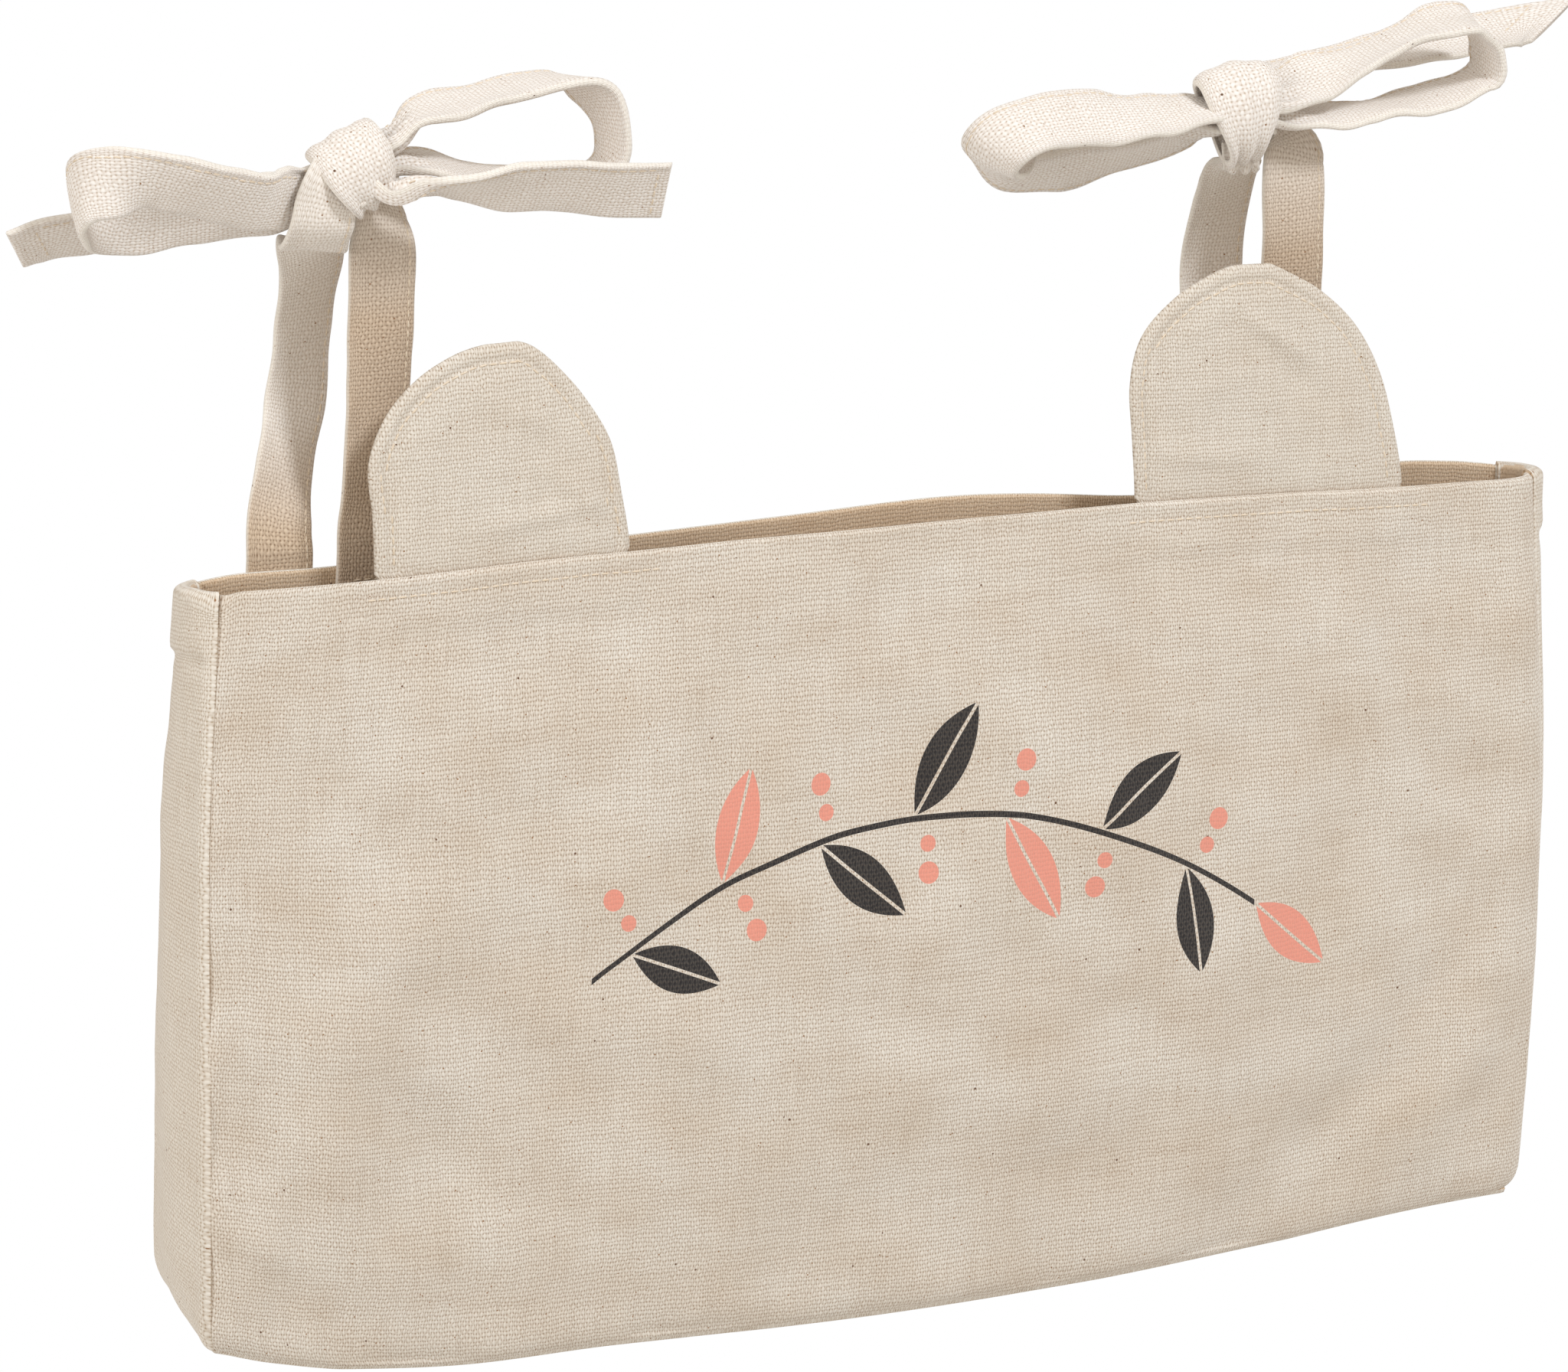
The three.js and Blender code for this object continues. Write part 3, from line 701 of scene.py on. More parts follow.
def steps_across(length, cell):
    count = round((length - 2 * SEAM_STEPS[-1]) / cell)
    inner = [lerp(SEAM_STEPS[-1], length - SEAM_STEPS[-1], k / count) for k in range(1, count)]
    return [v / length for v in (*SEAM_STEPS, *inner, *(length - s for s in SEAM_STEPS[::-1]))]


FINE_TOP = 24.0
FINE_CELL = 1.3
HEM_STEPS = (3, 5, 7, 9, 11, 13, 14.5, HEM_DEPTH)


def steps_up(cell):
    """Rows of a panel: shares of the wall's height, degrees of turn over the rim, mm down the hem."""
    walls = list(SEAM_STEPS)
    fine_from = BODY_HEIGHT - FINE_TOP
    for low, high, pitch in ((SEAM_STEPS[-1], fine_from, cell), (fine_from, BODY_HEIGHT, FINE_CELL)):
        count = round((high - low) / pitch)
        walls += [lerp(low, high, k / count) for k in range(1, count + 1)]
    rows = [(run / BODY_HEIGHT, "wall") for run in walls]
    rows += [(angle, "roll") for angle in range(15, 181, 15)]
    return rows + [(below, "hem") for below in HEM_STEPS]


# %% Relief of the panels
# The hem makes the wall thicker as far down as its edge, and its stitches draw the wall in there.
HEM_EDGE = 15
HEM_ROW = 18
SEAM_ROLL = (2.3, 1.5)
RIGHT_ROLL = (10.0, 4.6)
FOOT_ROLL = (9.0, 4.2)


def roll_in(distance, reach=SEAM_ROLL[0], depth=SEAM_ROLL[1]):
    """How deep cloth that turns inward at an edge lies, at a distance from that edge."""
    t = 1 - clamp01(distance / reach)
    return depth * (1 - math.sqrt(1 - t * t))


def right_roll(x, near):
    """The front turns softly round its right edge, which hides the seam there."""
    return roll_in(near, *RIGHT_ROLL) if x > 0 else roll_in(near)


def corner_dip(x, y, near):
    """The rim sinks where two hems meet, most at the front left corner."""
    depth = 2.2 if x < 0 and y < -DEPTH_RIM / 2 else 0.3
    return depth * (1 - smooth(near / 5.5))


TABS = ((-152, -80.5), (73.5, 156.5))
TAB_ROW = 5.0
UPRIGHT_CREASES = ((-1.0, -0.1, -160, 5, -178, 26), (1.2, 0.35, 128, 6, -60, 26))
LEVEL_CREASES = (
    (1.1, 0.55, -283, 5, -186, 13), (-1.3, -0.6, -262, 9, 160, 26), (1.0, 1.2, 65, 8, 186, 9)
)


def front_relief(x, z, below, near):
    lift = 0.12 * (1 - smooth((below - HEM_EDGE) / 2.5)) - 0.06 * bump(below, HEM_ROW, 1.6)
    for x0, x1 in TABS:
        over = smooth((x - x0) / 2.5) * (1 - smooth((x - x1) / 2.5))
        lift += 0.5 * over * (1 - smooth((below - 12) / 4))
        lift -= 0.35 * over * bump(below, TAB_ROW, 0.9)
    lift += 1.7 * ripple(x / 46, z / 34, 1.0) + 0.7 * ripple(x / 17 + 0.4 * z / 17, z / 26, 7.0)
    lift += 1.5 * ripple(x / 30, z / 24 + x / 60, 12.0) * smooth((below - 18) / 25)
    lift += creases(x, z, UPRIGHT_CREASES) + creases(z, x, LEVEL_CREASES)
    height = z - bottom_z(x, -DEPTH_BOTTOM)
    lift += 0.35 * ripple(z / 6.5, 3.3, x) * math.exp(-near / 6)
    lift += 0.45 * ripple(x / 8.0, 9.1, 0.2) * math.exp(-height / 8)
    return lift * smooth(near / 3) * smooth(height / 2)


def gusset_relief(side, y, z, below, near):
    lift = 1.1 * (1 - smooth((below - HEM_EDGE) / 2.2)) - 0.5 * bump(below, HEM_ROW + 0.5, 2.0)
    lift += 0.8 * ripple(y / 17 + side, z / 30, 4.0) + 0.3 * ripple(y / 6, z / 9, 5.0)
    return lift * smooth(near / 4)


def back_relief(x, z, below, near):
    lift = 0.3 * ripple(x / 40, z / 30, 2.0) - 0.35 - 0.3 * bump(below, HEM_ROW, 1.6)
    return lift * smooth(near / 3)


# %% A point on a panel
LIP = SEAM_GAP + 0.8
FRONT_OVER_GUSSET = 2.2
GUSSET_SET_BACK = 3.2
FOOT_LIP = 0.8


def panel_point(kind, across, inset, height, dip):
    """A point across a panel, set in from its outer face; height gives its z for an x and y."""
    x = {"left": -HALF_BODY, "right": HALF_BODY}.get(kind, lerp(-HALF_BODY, HALF_BODY, across))
    y = -DEPTH_BOTTOM * {"front": 1, "back": 0}.get(kind, across)
    z = 0.0
    for _ in range(5):
        z = height(x, y)
        side = side_x(y, z) - inset
        if kind in ("front", "back"):
            left = LIP - side
            right = side - LIP
            if kind == "front":
                left += 1.7 * ripple(z / 21, 1.5, 0.3) - 0.5
                right += FRONT_OVER_GUSSET
            x = lerp(left, right, across)
            near = min(x - left, right - x)
            y = front_y(x, z) + inset if kind == "front" else -inset
        else:
            rear = -inset - LIP
            fore = front_y(x, z) + inset + LIP + (GUSSET_SET_BACK if kind == "right" else 0.0)
            y = lerp(rear, fore, across)
            near = min(rear - y, y - fore)
            x = -side if kind == "left" else side
    below = rim_z(x, y) - z
    z -= corner_dip(x, y, near) * (1 - smooth((below - 2) / 6)) * dip
    rolled = roll_in(near)
    if kind == "front":
        y += right_roll(x, near) - front_relief(x, z, below, near) * dip
    elif kind == "back":
        y += back_relief(x, z, below, near) * dip - rolled
    else:
        way = -1 if kind == "left" else 1
        x += way * (gusset_relief(way, y, z, below, near) * dip - rolled)
    return x, y, z


# %% One panel
def panel(name, kind, cell, slot):
    rows = steps_up(cell)
    width = 2 * HALF_BODY if kind in ("front", "back") else DEPTH_BOTTOM
    shares = steps_across(width, cell)
    runs = []
    for value, rule in rows:
        if rule == "wall":
            runs.append(value * BODY_HEIGHT)
        elif rule == "roll":
            runs.append(BODY_HEIGHT + FOLD_RADIUS * math.radians(value))
        else:
            runs.append(BODY_HEIGHT + math.pi * FOLD_RADIUS + value - FOLD_RADIUS)

    def place(c, r):
        value, rule = rows[r]

        def height(x, y):
            if rule == "wall":
                return lerp(bottom_z(x, y) - FOOT_LIP, rim_z(x, y) - FOLD_RADIUS, value)
            return rim_z(x, y) - sunk

        if rule == "wall":
            return panel_point(kind, shares[c], roll_in(value * BODY_HEIGHT, *FOOT_ROLL), height, 1)
        if rule == "hem":
            sunk = value
            return panel_point(kind, shares[c], RIM_THICKNESS, height, 0)
        turn = math.radians(value)
        sunk = FOLD_RADIUS * (1 - math.sin(turn))
        inset = FOLD_RADIUS * (1 - math.cos(turn))
        return panel_point(kind, shares[c], inset, height, (1 + math.cos(turn)) / 2)

    def measure(c, r):
        return shares[c] * width, runs[r]

    return cloth_grid(name, len(shares) - 1, len(rows) - 1, place, measure, slot)


# %% Front, back and gussets
front_panel = panel("front_panel_cloth", "front", 2.2, "canvas_front")
back_panel = panel("back_panel_cloth", "back", 4.0, "canvas_side")
left_gusset = panel("left_gusset_cloth", "left", 2.0, "canvas_side")
right_gusset = panel("right_gusset_cloth", "right", 2.0, "canvas_side")


# %% [markdown]
# The bottom panel lies between the four lower seams and sags under its own weight.


# %% Bottom
BOTTOM_COLS = steps_across(2 * HALF_BODY, 3.0)
BOTTOM_ROWS = steps_across(DEPTH_BOTTOM, 2.6)
BOTTOM_INSET = 3.8
BOTTOM_DROP = 1.2
BOTTOM_FLAT = 45


def bottom_place(c, r):
    u, v = BOTTOM_COLS[c], BOTTOM_ROWS[r]
    x = lerp(-HALF_BODY, HALF_BODY, u)
    y = -DEPTH_BOTTOM * v
    z = 0.0
    near = min(min(u, 1 - u) * 2 * HALF_BODY, min(v, 1 - v) * DEPTH_BOTTOM)
    for _ in range(5):
        z = bottom_z(x, y) - BOTTOM_DROP + roll_in(near)
        side = side_x(y, z) - BOTTOM_INSET
        x = lerp(-side, side, u)
        y = lerp(-BOTTOM_INSET, front_y(x, z) + BOTTOM_INSET, v)
    return x, y, z + 0.5 * ripple(x / 30, y / 14, 6.0) * smooth(near / 5)


def bottom_measure(c, r):
    return BOTTOM_COLS[c] * 2 * HALF_BODY, BOTTOM_ROWS[r] * BOTTOM_FLAT


bottom_panel = cloth_grid(
    "bottom_panel_cloth", len(BOTTOM_COLS) - 1, len(BOTTOM_ROWS) - 1, bottom_place, bottom_measure,
    "canvas_side",
)

# %% [markdown]
# Light inside the pocket comes through the canvas and off it, so the inner faces look a warmer tan
# in the photograph. They get a material of their own, picked by the way a face looks.


# %% Thickness and inner faces
def line_inside(obj, way):
    obj.data.materials.append(cloths["canvas_inside"])
    for polygon in obj.data.polygons:
        if polygon.normal.dot(way) > 0.5:
            polygon.material_index = 1


for obj, turned, inward in (
    (front_panel, False, (0, 1, 0)),
    (back_panel, True, (0, -1, 0)),
    (left_gusset, True, (1, 0, 0)),
    (right_gusset, False, (-1, 0, 0)),
    (bottom_panel, True, (0, 0, 1)),
):
    if turned:
        flip(obj)
    make_thick(obj, CANVAS)
    face_outward(obj)
    line_inside(obj, Vector(inward))
    print(obj.name, len(obj.data.polygons), "faces")

# %% [markdown]
# Two rows of stitches on the front, 5 mm under the rim, catch the tabs of the ears.


# %% Rows on the front panel
rows = []
for x0, x1 in TABS:
    along = np.linspace(x0 - 5, x1 + 9, 40)
    rows.append([(x, front_y(x, 0) - 1.0, rim_z(x, front_y(x, 0)) - TAB_ROW) for x in along])
sew(front_panel, rows, Vector((0, -1, 0)))

# %% [markdown]
# ## Ears
# Two layers sewn together, turned and topstitched 4 mm from the edge, with their lower end caught
# behind the front hem. Each layer runs down into that tab, and bends where the ear folds. The
# outline is told by how far it reaches from the middle at every 15 degrees of rise. It is the
# solids' outline, with the tops a little rounder. Between edge and stitches the cloth is puffed by
# its seam allowance, along the stitches it is drawn in, and the middle keeps a few soft wrinkles.

# %% Ear shape
EAR_LEAN = 8.0
EAR_TAB = 12.0
EAR_FOOT = 0.6
EAR_TOP = 88
EARS = {
    "left": dict(
        base=-116.7, height=58.3, left=(36.6, 37, 38, 33.2, 24.2, 13, 3),
        right=(36.6, 34.2, 31.2, 24.2, 16.4, 9.8, 4.5),
    ),
    "right": dict(
        base=114.9, height=63.2, left=(42.7, 43.8, 44.6, 40.9, 30.5, 18.5, 10.5),
        right=(42.7, 39.5, 34.9, 27.3, 16.3, 4.5, -1),
    ),
}


def ear_axes(side):
    ear = EARS[side]
    half = (ear["left"][0] + ear["right"][0]) / 2
    ends = []
    for x in (ear["base"] - half, ear["base"] + half):
        z = rim_z(x, front_y(x, 0))
        ends.append(Vector((x, front_y(x, z) + RIM_THICKNESS + FIT, z)))
    return (ends[0] + ends[1]) / 2, (ends[1] - ends[0]).normalized(), half


def ear_spot(side, across, degrees):
    """Place along and above the base of the ear, in mm; across runs from -1 to 1."""
    ear = EARS[side]
    low, high = (
        profile([(15 * k, v) for k, v in enumerate(ear[edge])], degrees) for edge in ("left", "right")
    )
    return lerp(-low, high, (across + 1) / 2), ear["height"] * math.sin(math.radians(degrees))


def ear_outline(side):
    angles = np.linspace(0, EAR_TOP, 90)
    up = [ear_spot(side, -1, a) for a in angles]
    return np.array(up + [ear_spot(side, 1, a) for a in angles[::-1]])


def edge_distance(outline, spot):
    a = outline[:-1]
    d = outline[1:] - a
    p = np.array(spot) - a
    t = np.clip((p * d).sum(1) / np.maximum((d * d).sum(1), 1e-9), 0, 1)
    return float(np.sqrt(((p - d * t[:, None]) ** 2).sum(1)).min())


# %% Relief of an ear
TOPSTITCH = 4.0
EAR_ROLL = (2.0, 1.15)
EAR_CREASES = {
    "left": (
        (1.0, -0.12, 10, 2.6, 12, 17), (0.6, 0.75, 33, 2.6, 21, 8), (0.5, 0.5, 42, 3.4, 5, 12),
        (-0.5, 0.8, 27, 4, 16, 10),
    ),
    "right": (
        (0.9, 0.1, 9, 3.4, -22, 15), (1.2, 0.62, 44, 2.8, 0, 11), (-0.7, 0.7, 37, 3.5, 6, 12),
        (0.5, -0.3, 36, 4, -20, 14),
    ),
}


def ear_relief(distance):
    puff = 0.15 * bump(distance, 2.3, 1.1)
    drawn = 0.3 * bump(distance, TOPSTITCH, 0.6)
    return 0.65 * smooth((distance - TOPSTITCH) / 7) + puff - roll_in(distance, *EAR_ROLL) - drawn


def ear_wrinkles(side, u, h):
    return creases(h, u, EAR_CREASES[side]) + 0.35 * ripple(u / 9, h / 9, 2.5)


# %% One layer of an ear
TAB_STEPS = 8
EAR_STEPS = 64
EAR_COLS = 72
TAB_INSET = 1.5


def ear_across(c):
    t = 2 * c / EAR_COLS - 1
    return lerp(t, math.sin(t * math.pi / 2), 0.75)


def ear_layer(side, layer):
    middle, along, half = ear_axes(side)
    outline = ear_outline(side)
    way, behind, behind_tab, share = (
        (-1, 0.0, 0.0, 1) if layer == "front" else (1, 2 * CANVAS + FIT, 2 * CANVAS, 0.8)
    )

    def place(c, r):
        across = ear_across(c)
        if r < TAB_STEPS:
            x = EARS[side]["base"] + across * (half - TAB_INSET)
            z = rim_z(x, front_y(x, 0)) - EAR_TAB * (1 - r / TAB_STEPS)
            return x, front_y(x, z) + RIM_THICKNESS + FIT + behind_tab, z
        degrees = EAR_TOP * (r - TAB_STEPS) / EAR_STEPS
        u, h = ear_spot(side, across, degrees)
        inward = edge_distance(outline, (u, h))
        wrinkles = ear_wrinkles(side, u, h) * smooth((inward - 3) / 5) * smooth(h / 6)
        lift = ear_relief(inward) + wrinkles
        lean = EAR_LEAN * math.sin(math.radians(degrees)) ** 1.2 + CANVAS * 0.2
        spot = middle + along * u
        return spot.x, spot.y + behind + lean + way * lift * share, spot.z + EAR_FOOT + h

    def measure(c, r):
        if r < TAB_STEPS:
            return half * (1 + ear_across(c)), EAR_TAB * r / TAB_STEPS
        u, h = ear_spot(side, ear_across(c), EAR_TOP * (r - TAB_STEPS) / EAR_STEPS)
        return half + u, EAR_TAB + h

    rows = TAB_STEPS + EAR_STEPS
    obj = cloth_grid(f"{side}_ear_{layer}_cloth", EAR_COLS, rows, place, measure, "canvas_ear")
    if layer == "back":
        flip(obj)
    make_thick(obj, CANVAS)
    face_outward(obj)
    return obj


# %% Rows of stitches round an ear
def ear_row(side, layer, inward):
    middle, along, _ = ear_axes(side)
    outline = ear_outline(side)
    ahead = np.gradient(outline, axis=0)
    ahead /= np.linalg.norm(ahead, axis=1)[:, None]
    row = outline + np.stack([ahead[:, 1], -ahead[:, 0]], 1) * inward
    y = -3 if layer == "front" else 8
    lean = EAR_LEAN / EARS[side]["height"]
    return [middle + along * u + Vector((0, lean * h + y, EAR_FOOT + h)) for u, h in row if h > 1.5]


ears = {}
for side in EARS:
    for layer, look in (("front", (0, -1, 0)), ("back", (0, 1, 0))):
        ears[side, layer] = ear_layer(side, layer)
        sew(ears[side, layer], [ear_row(side, layer, TOPSTITCH)], Vector(look))


# %% [markdown]
# ## Straps
# Each strap is a strip folded to 19 mm, pressed flat and stitched along one edge. A strand follows
# stations: a centre and the direction of the band's width, in tenths. They are the solids' own,
# with a few turned by some degrees. The section is two faces that meet in round folds. Where the
# strand is drawn together at a knot, the faces gather into pleats, a loop is slightly hollow
# across, and its edges wave a little.

# %% Section of a strap
SECTION = 22
ROW_INSET = 1.9


def band_section(half, across, pleat, cup, wave):
    """Offsets across and out of a folded band, round both faces."""
    thick = STRAP_THICKNESS / 2
    top = []
    for k in range(SECTION + 1):
        a = half * math.cos(math.pi * k / SECTION)
        near = half - abs(a)
        t = 1 - min(1.0, near / thick)
        lift = thick * math.sqrt(1 - t * t) - 0.28 * bump(half - a, ROW_INSET, 0.6)
        share = a / half
        lean = pleat * math.cos(math.pi * 2.6 * share + across) + cup * (share * share - 0.3)
        lean += wave * share**3
        top.append((a, lift, lean))
    bottom = [(a, -lift, lean) for a, lift, lean in top[-2:0:-1]]
    return [(a, lift + lean) for a, lift, lean in top + bottom]


# %% The way of a strand
def route(stations, steps=14):
    points = np.array(stations, dtype=float)
    full = np.vstack([2 * points[0] - points[1], points, 2 * points[-1] - points[-2]])
    out = [
        catmull(full[s], full[s + 1], full[s + 2], full[s + 3], k / steps)
        for s in range(len(points) - 1)
        for k in range(steps)
    ]
    return np.array([*out, points[-1]])


END_STEPS = (0, 0.12, 0.45)


def even_route(stations, pitch=1.15):
    """Even steps along the smooth way, with close ones at both ends, and their runs in mm."""
    path = route(stations)
    runs = runs_along(path[:, :3])
    total = runs[-1]
    inner = np.linspace(1.0, total - 1.0, round((total - 2) / pitch))
    marks = np.array([*END_STEPS, *inner, *(total - step for step in END_STEPS[::-1])])
    return np.stack([np.interp(marks, runs, path[:, k]) for k in range(6)], 1), marks


# %% A closed band
def close_band(name, rings, runs, looped=False):
    """Makes a mesh of rings of points; a looped one joins its end to its start."""
    count = len(rings[0])
    last = len(rings) - 1

    def place(c, r):
        return rings[r][c % count]

    # Legs get the strap with painted shade.
    slot = "strap_rear" if "rear" in name else "strap_front" if "front" in name else "strap"
    obj = cloth_grid(name, count, last, place, lambda c, r: (c / count * 2 * EDGE_REPEAT, runs[r]), slot)
    bpy.ops.object.mode_set(mode="EDIT")
    bpy.ops.mesh.select_all(action="SELECT")
    bpy.ops.mesh.remove_doubles(threshold=1e-6)
    if not looped:
        bpy.ops.mesh.select_all(action="DESELECT")
        bpy.ops.mesh.select_non_manifold(
            extend=False, use_wire=False, use_multi_face=False, use_non_contiguous=False, use_verts=False
        )
        bpy.ops.mesh.edge_face_add()
    bpy.ops.object.mode_set(mode="OBJECT")
    face_outward(obj)
    obj["run_mm"] = runs[-1]
    return obj


# %% Ends and stitches of a strand
KNOT_RINGS = 20
STAND_OFF = 2.5
BOX_CORNERS = ((-6.5, 3), (6.5, 3), (6.5, 26), (-6.5, 26))
BOX_LINES = ((0, 1), (1, 2), (2, 3), (3, 0), (0, 2), (1, 3))


def into_knot(stations, knot, kind):
    """Lets the cloth run on into its knot, where the wrap hides its end."""
    ends = {"loop": (0, -1), "tail": (0,), "rear": (-1,), "front": (-1,)}[kind]
    for end in ends:
        inner = lerp(np.array(stations[end][:3], float), np.array(knot, float), 0.55)
        extra = (*inner, *stations[end][3:])
        stations = [extra, *stations] if end == 0 else [*stations, extra]
    return stations


def run_at(path, runs, station):
    """How far along the path, in mm, its point nearest to a station is."""
    return runs[np.linalg.norm(path[:, :3] - np.array(station[:3]), axis=1).argmin()]


def strand_stitches(kind, row, rings, foot):
    """Rows along one edge of both faces, across a tail's cut end, and a crossed box on a sewn end."""
    lines = [[p + n * off for p, n in row] for off in (STAND_OFF, -STAND_OFF)]
    if kind == "tail":
        p, n = row[-1]
        across = (rings[-1][0] - rings[-1][SECTION]).normalized()
        steps = np.linspace(1, STRAP_WIDTH - 4, 12)
        lines += [[p + n * off - across * d for d in steps] for off in (STAND_OFF, -STAND_OFF)]
    if kind in ("rear", "front"):
        out = STAND_OFF if kind == "rear" else -STAND_OFF
        corners = [Vector(foot) + Vector((u, out, v)) for u, v in BOX_CORNERS]
        lines += [[corners[a], corners[b]] for a, b in BOX_LINES]
    return lines


# %% One strand
DRAWN_FROM, DRAWN_OVER = 3.5, 14
CUT_LENGTH = 16
FULL_LENGTH = 30
END_ROUND = 0.9


def band(name, way, knot, start=1.0, end=1.0, slant=0.0, cup=0.3, wave=0.35, pleat=1.5, full=1.3):
    """Builds a strand along its stations.

    start and end say how far it is drawn in at its knot, slant how far its cut end leans, and full
    how much thicker a loop or tail is away from its end.
    """
    kind = name.split("_")[1]
    path, runs = even_route(into_knot(way, knot, kind))
    run_in = run_at(path[:KNOT_RINGS], runs[:KNOT_RINGS], way[0])
    run_out = run_at(path[-KNOT_RINGS:], runs[-KNOT_RINGS:], way[-1])
    centres = [Vector(p[:3]) for p in path]
    total = runs[-1]
    rings = []
    row = []
    for k, centre in enumerate(centres):
        run = runs[k]
        tangent = (centres[min(len(centres) - 1, k + 1)] - centres[max(0, k - 1)]).normalized()
        wide = Vector(path[k][3:6])
        wide = (wide - tangent * wide.dot(tangent)).normalized()
        normal = tangent.cross(wide)
        opened = lerp(start, 1, smooth((run - run_in - DRAWN_FROM) / DRAWN_OVER))
        shut = lerp(end, 1, smooth((run_out - run - DRAWN_FROM) / DRAWN_OVER))
        drawn = min(opened, shut)
        half = STRAP_WIDTH / 2 * drawn + 0.25 * ripple(run / 14, len(name), 0)
        cut = slant * smooth(1 - (total - run) / CUT_LENGTH)
        tip = min(1.0, run / END_ROUND + 0.35, (total - run) / END_ROUND + 0.35)
        if kind in ("loop", "tail"):
            tip *= lerp(1.05, full, smooth((total - run) / FULL_LENGTH))
        gather = pleat * smooth((1 - drawn) * 2.5)
        hollow = cup * (1 + 1.5 * ripple(run / 30, 5.5, len(name)))
        flutter = wave * 2.2 * ripple(run / 11, len(name) * 1.7, 3.1)
        section = band_section(half, 0.9 * math.sin(run / 17), gather, hollow, flutter)
        rings.append(
            [centre + wide * a + normal * (b * tip) + tangent * (cut * a / half) for a, b in section]
        )
        if run_in + 4 < run < min(run_out - 4, total - 2.5):
            row.append((centre + wide * (half - ROW_INSET), normal))
    obj = close_band(name, rings, list(runs))
    sew(obj, strand_stitches(kind, row, rings, way[0][:3]))
    return obj


# %% [markdown]
# The stations of every strand: centre x, y, z and the direction of the band's width, in tenths.
# A leg starts with its sewn end, 30 mm long: the rear leg's outside the back panel, the front
# leg's inside it.

# %% Where the ties are sewn
OUTSIDE_Y = FIT + STRAP_THICKNESS / 2
INSIDE_Y = -RIM_THICKNESS - FIT - STRAP_THICKNESS / 2
KNOTS = {"left": (-156.5, -3.5, 109.6), "right": (106.5, -3, 109.3)}
LEG_X = {"left_rear_leg": -172, "left_front_leg": -148, "right_rear_leg": 106, "right_front_leg": 130}


def sewn_end(leg):
    if "rear" in leg:
        spots = ((OUTSIDE_Y, -30), (OUTSIDE_Y, -15), (OUTSIDE_Y, 0.5), (OUTSIDE_Y + 0.3, 4))
    else:
        spots = ((INSIDE_Y, -30), (INSIDE_Y, -15), (INSIDE_Y, 0.3), (INSIDE_Y, 4))
    return [(LEG_X[leg], y, z, 10, 0, 0) for y, z in spots]


print("legs start at x", sorted(LEG_X.values()))

# %% Strands of the left tie
LEFT_STRANDS = {
    "rear_leg": dict(way=[
        *sewn_end("left_rear_leg"), (-171, 5, 10, 10, 1, 0), (-167, 13, 21, 9, 3, -1),
        (-161, 21, 41, 10, 2, -1), (-159, 22, 63, 10, 3, -1), (-159, 18, 77, 9, 3, -2),
        (-163, 9, 86.5, 10, 3, -2), (-167.2, -3, 89.5, 10, 2, -2), (-167.5, -9, 96, 10, 1, -2),
        (-166.5, -9.5, 103, 10, 1, -2), (-164, -8.6, 107.2, 10, 2, -2),
    ], end=0.7),
    "front_leg": dict(way=[
        *sewn_end("left_front_leg"), (-148, -3.5, 10, 10, 0, 0), (-147, -2, 20, 10, 1, -1),
        (-146, -0.5, 46, 10, 1, -1), (-146, -0.5, 70, 10, 0, -1), (-146, 0, 85, 10, 0, -1),
        (-146, 2, 94, 9, 3, -1), (-146, 6, 98, 9, 4, -1), (-148, 7.6, 103, 10, 0, -2),
    ], end=0.7),
    "loop_left": dict(way=[
        (-164.2, -4.6, 105.5, -4, 0, 9), (-171, -4.5, 104, -2, 0, 10), (-180, -7, 104, 0, -3, 9),
        (-188, -11, 105, 0, -5, 9), (-204, -14, 110, -1, -5, 8), (-218, -14, 113.5, 0, -4, 9),
        (-228, -12, 113, 0, 0, 9), (-234, -7, 110.5, 0, 4, 9), (-234, -1, 104.5, 0, 6, 8),
        (-227, 5, 99.5, 0, 2, 9), (-216, 7, 96.5, -1, -3, 9), (-203, 6, 97, -2, -4, 9),
        (-188, 4, 99, -2, -4, 9), (-174, 0, 102, -1, -2, 9), (-164.2, -1.5, 105.5, -4, 0, 9),
    ], start=0.75, end=0.75),
    "loop_right": dict(way=[
        (-150.5, -3.5, 115, 0, 10, 0), (-145, -4, 118, 2, 9, 0), (-138, -3, 124, 2, 10, 1),
        (-124, -2, 126.3, 2, 10, 1), (-107, -2, 129.8, 2, 10, 0), (-95.5, -2, 130.6, 0, 10, -2),
        (-87.5, -2, 126, -2, 9, -4), (-82.5, -2, 116.5, -1, 10, -3), (-82.5, -2, 108.5, -1, 10, -3),
        (-88, -1, 104, 0, 10, -1), (-103, 0, 103.5, 1, 10, 0), (-121, 0, 106, 2, 10, 0),
        (-133, -1, 110, 2, 10, 0), (-142, -3, 111, 2, 9, 0), (-149.5, -3.5, 110.5, 0, 10, 0),
    ], start=0.68, end=0.66),
    "tail_left": dict(way=[
        (-160.5, 9.8, 104, -3, -6, 7), (-172, 10.5, 100, -3, -6, 7), (-180, 13, 98, -3, -6, 7),
        (-194, 17, 95, -3, -6, 7), (-210, 19, 92, -3, -6, 7), (-225, 19, 90.8, -3, -6, 7),
        (-236, 18, 89.8, -3, -6, 7), (-244, 17, 88, -3, -6, 7),
    ], start=0.6, slant=4),
    "tail_right": dict(way=[
        (-148.3, -12, 105.6, -2, -9, 1), (-141, -17, 108, -2, -9, 3), (-132, -20, 108, -1, -8, 5),
        (-117, -21.5, 107.5, 0, -6, 8), (-104, -22, 107, 0, -5, 8), (-90, -22, 105, 0, -5, 9),
        (-74, -22, 104, 0, -4, 9),
    ], start=0.6, slant=3),
}

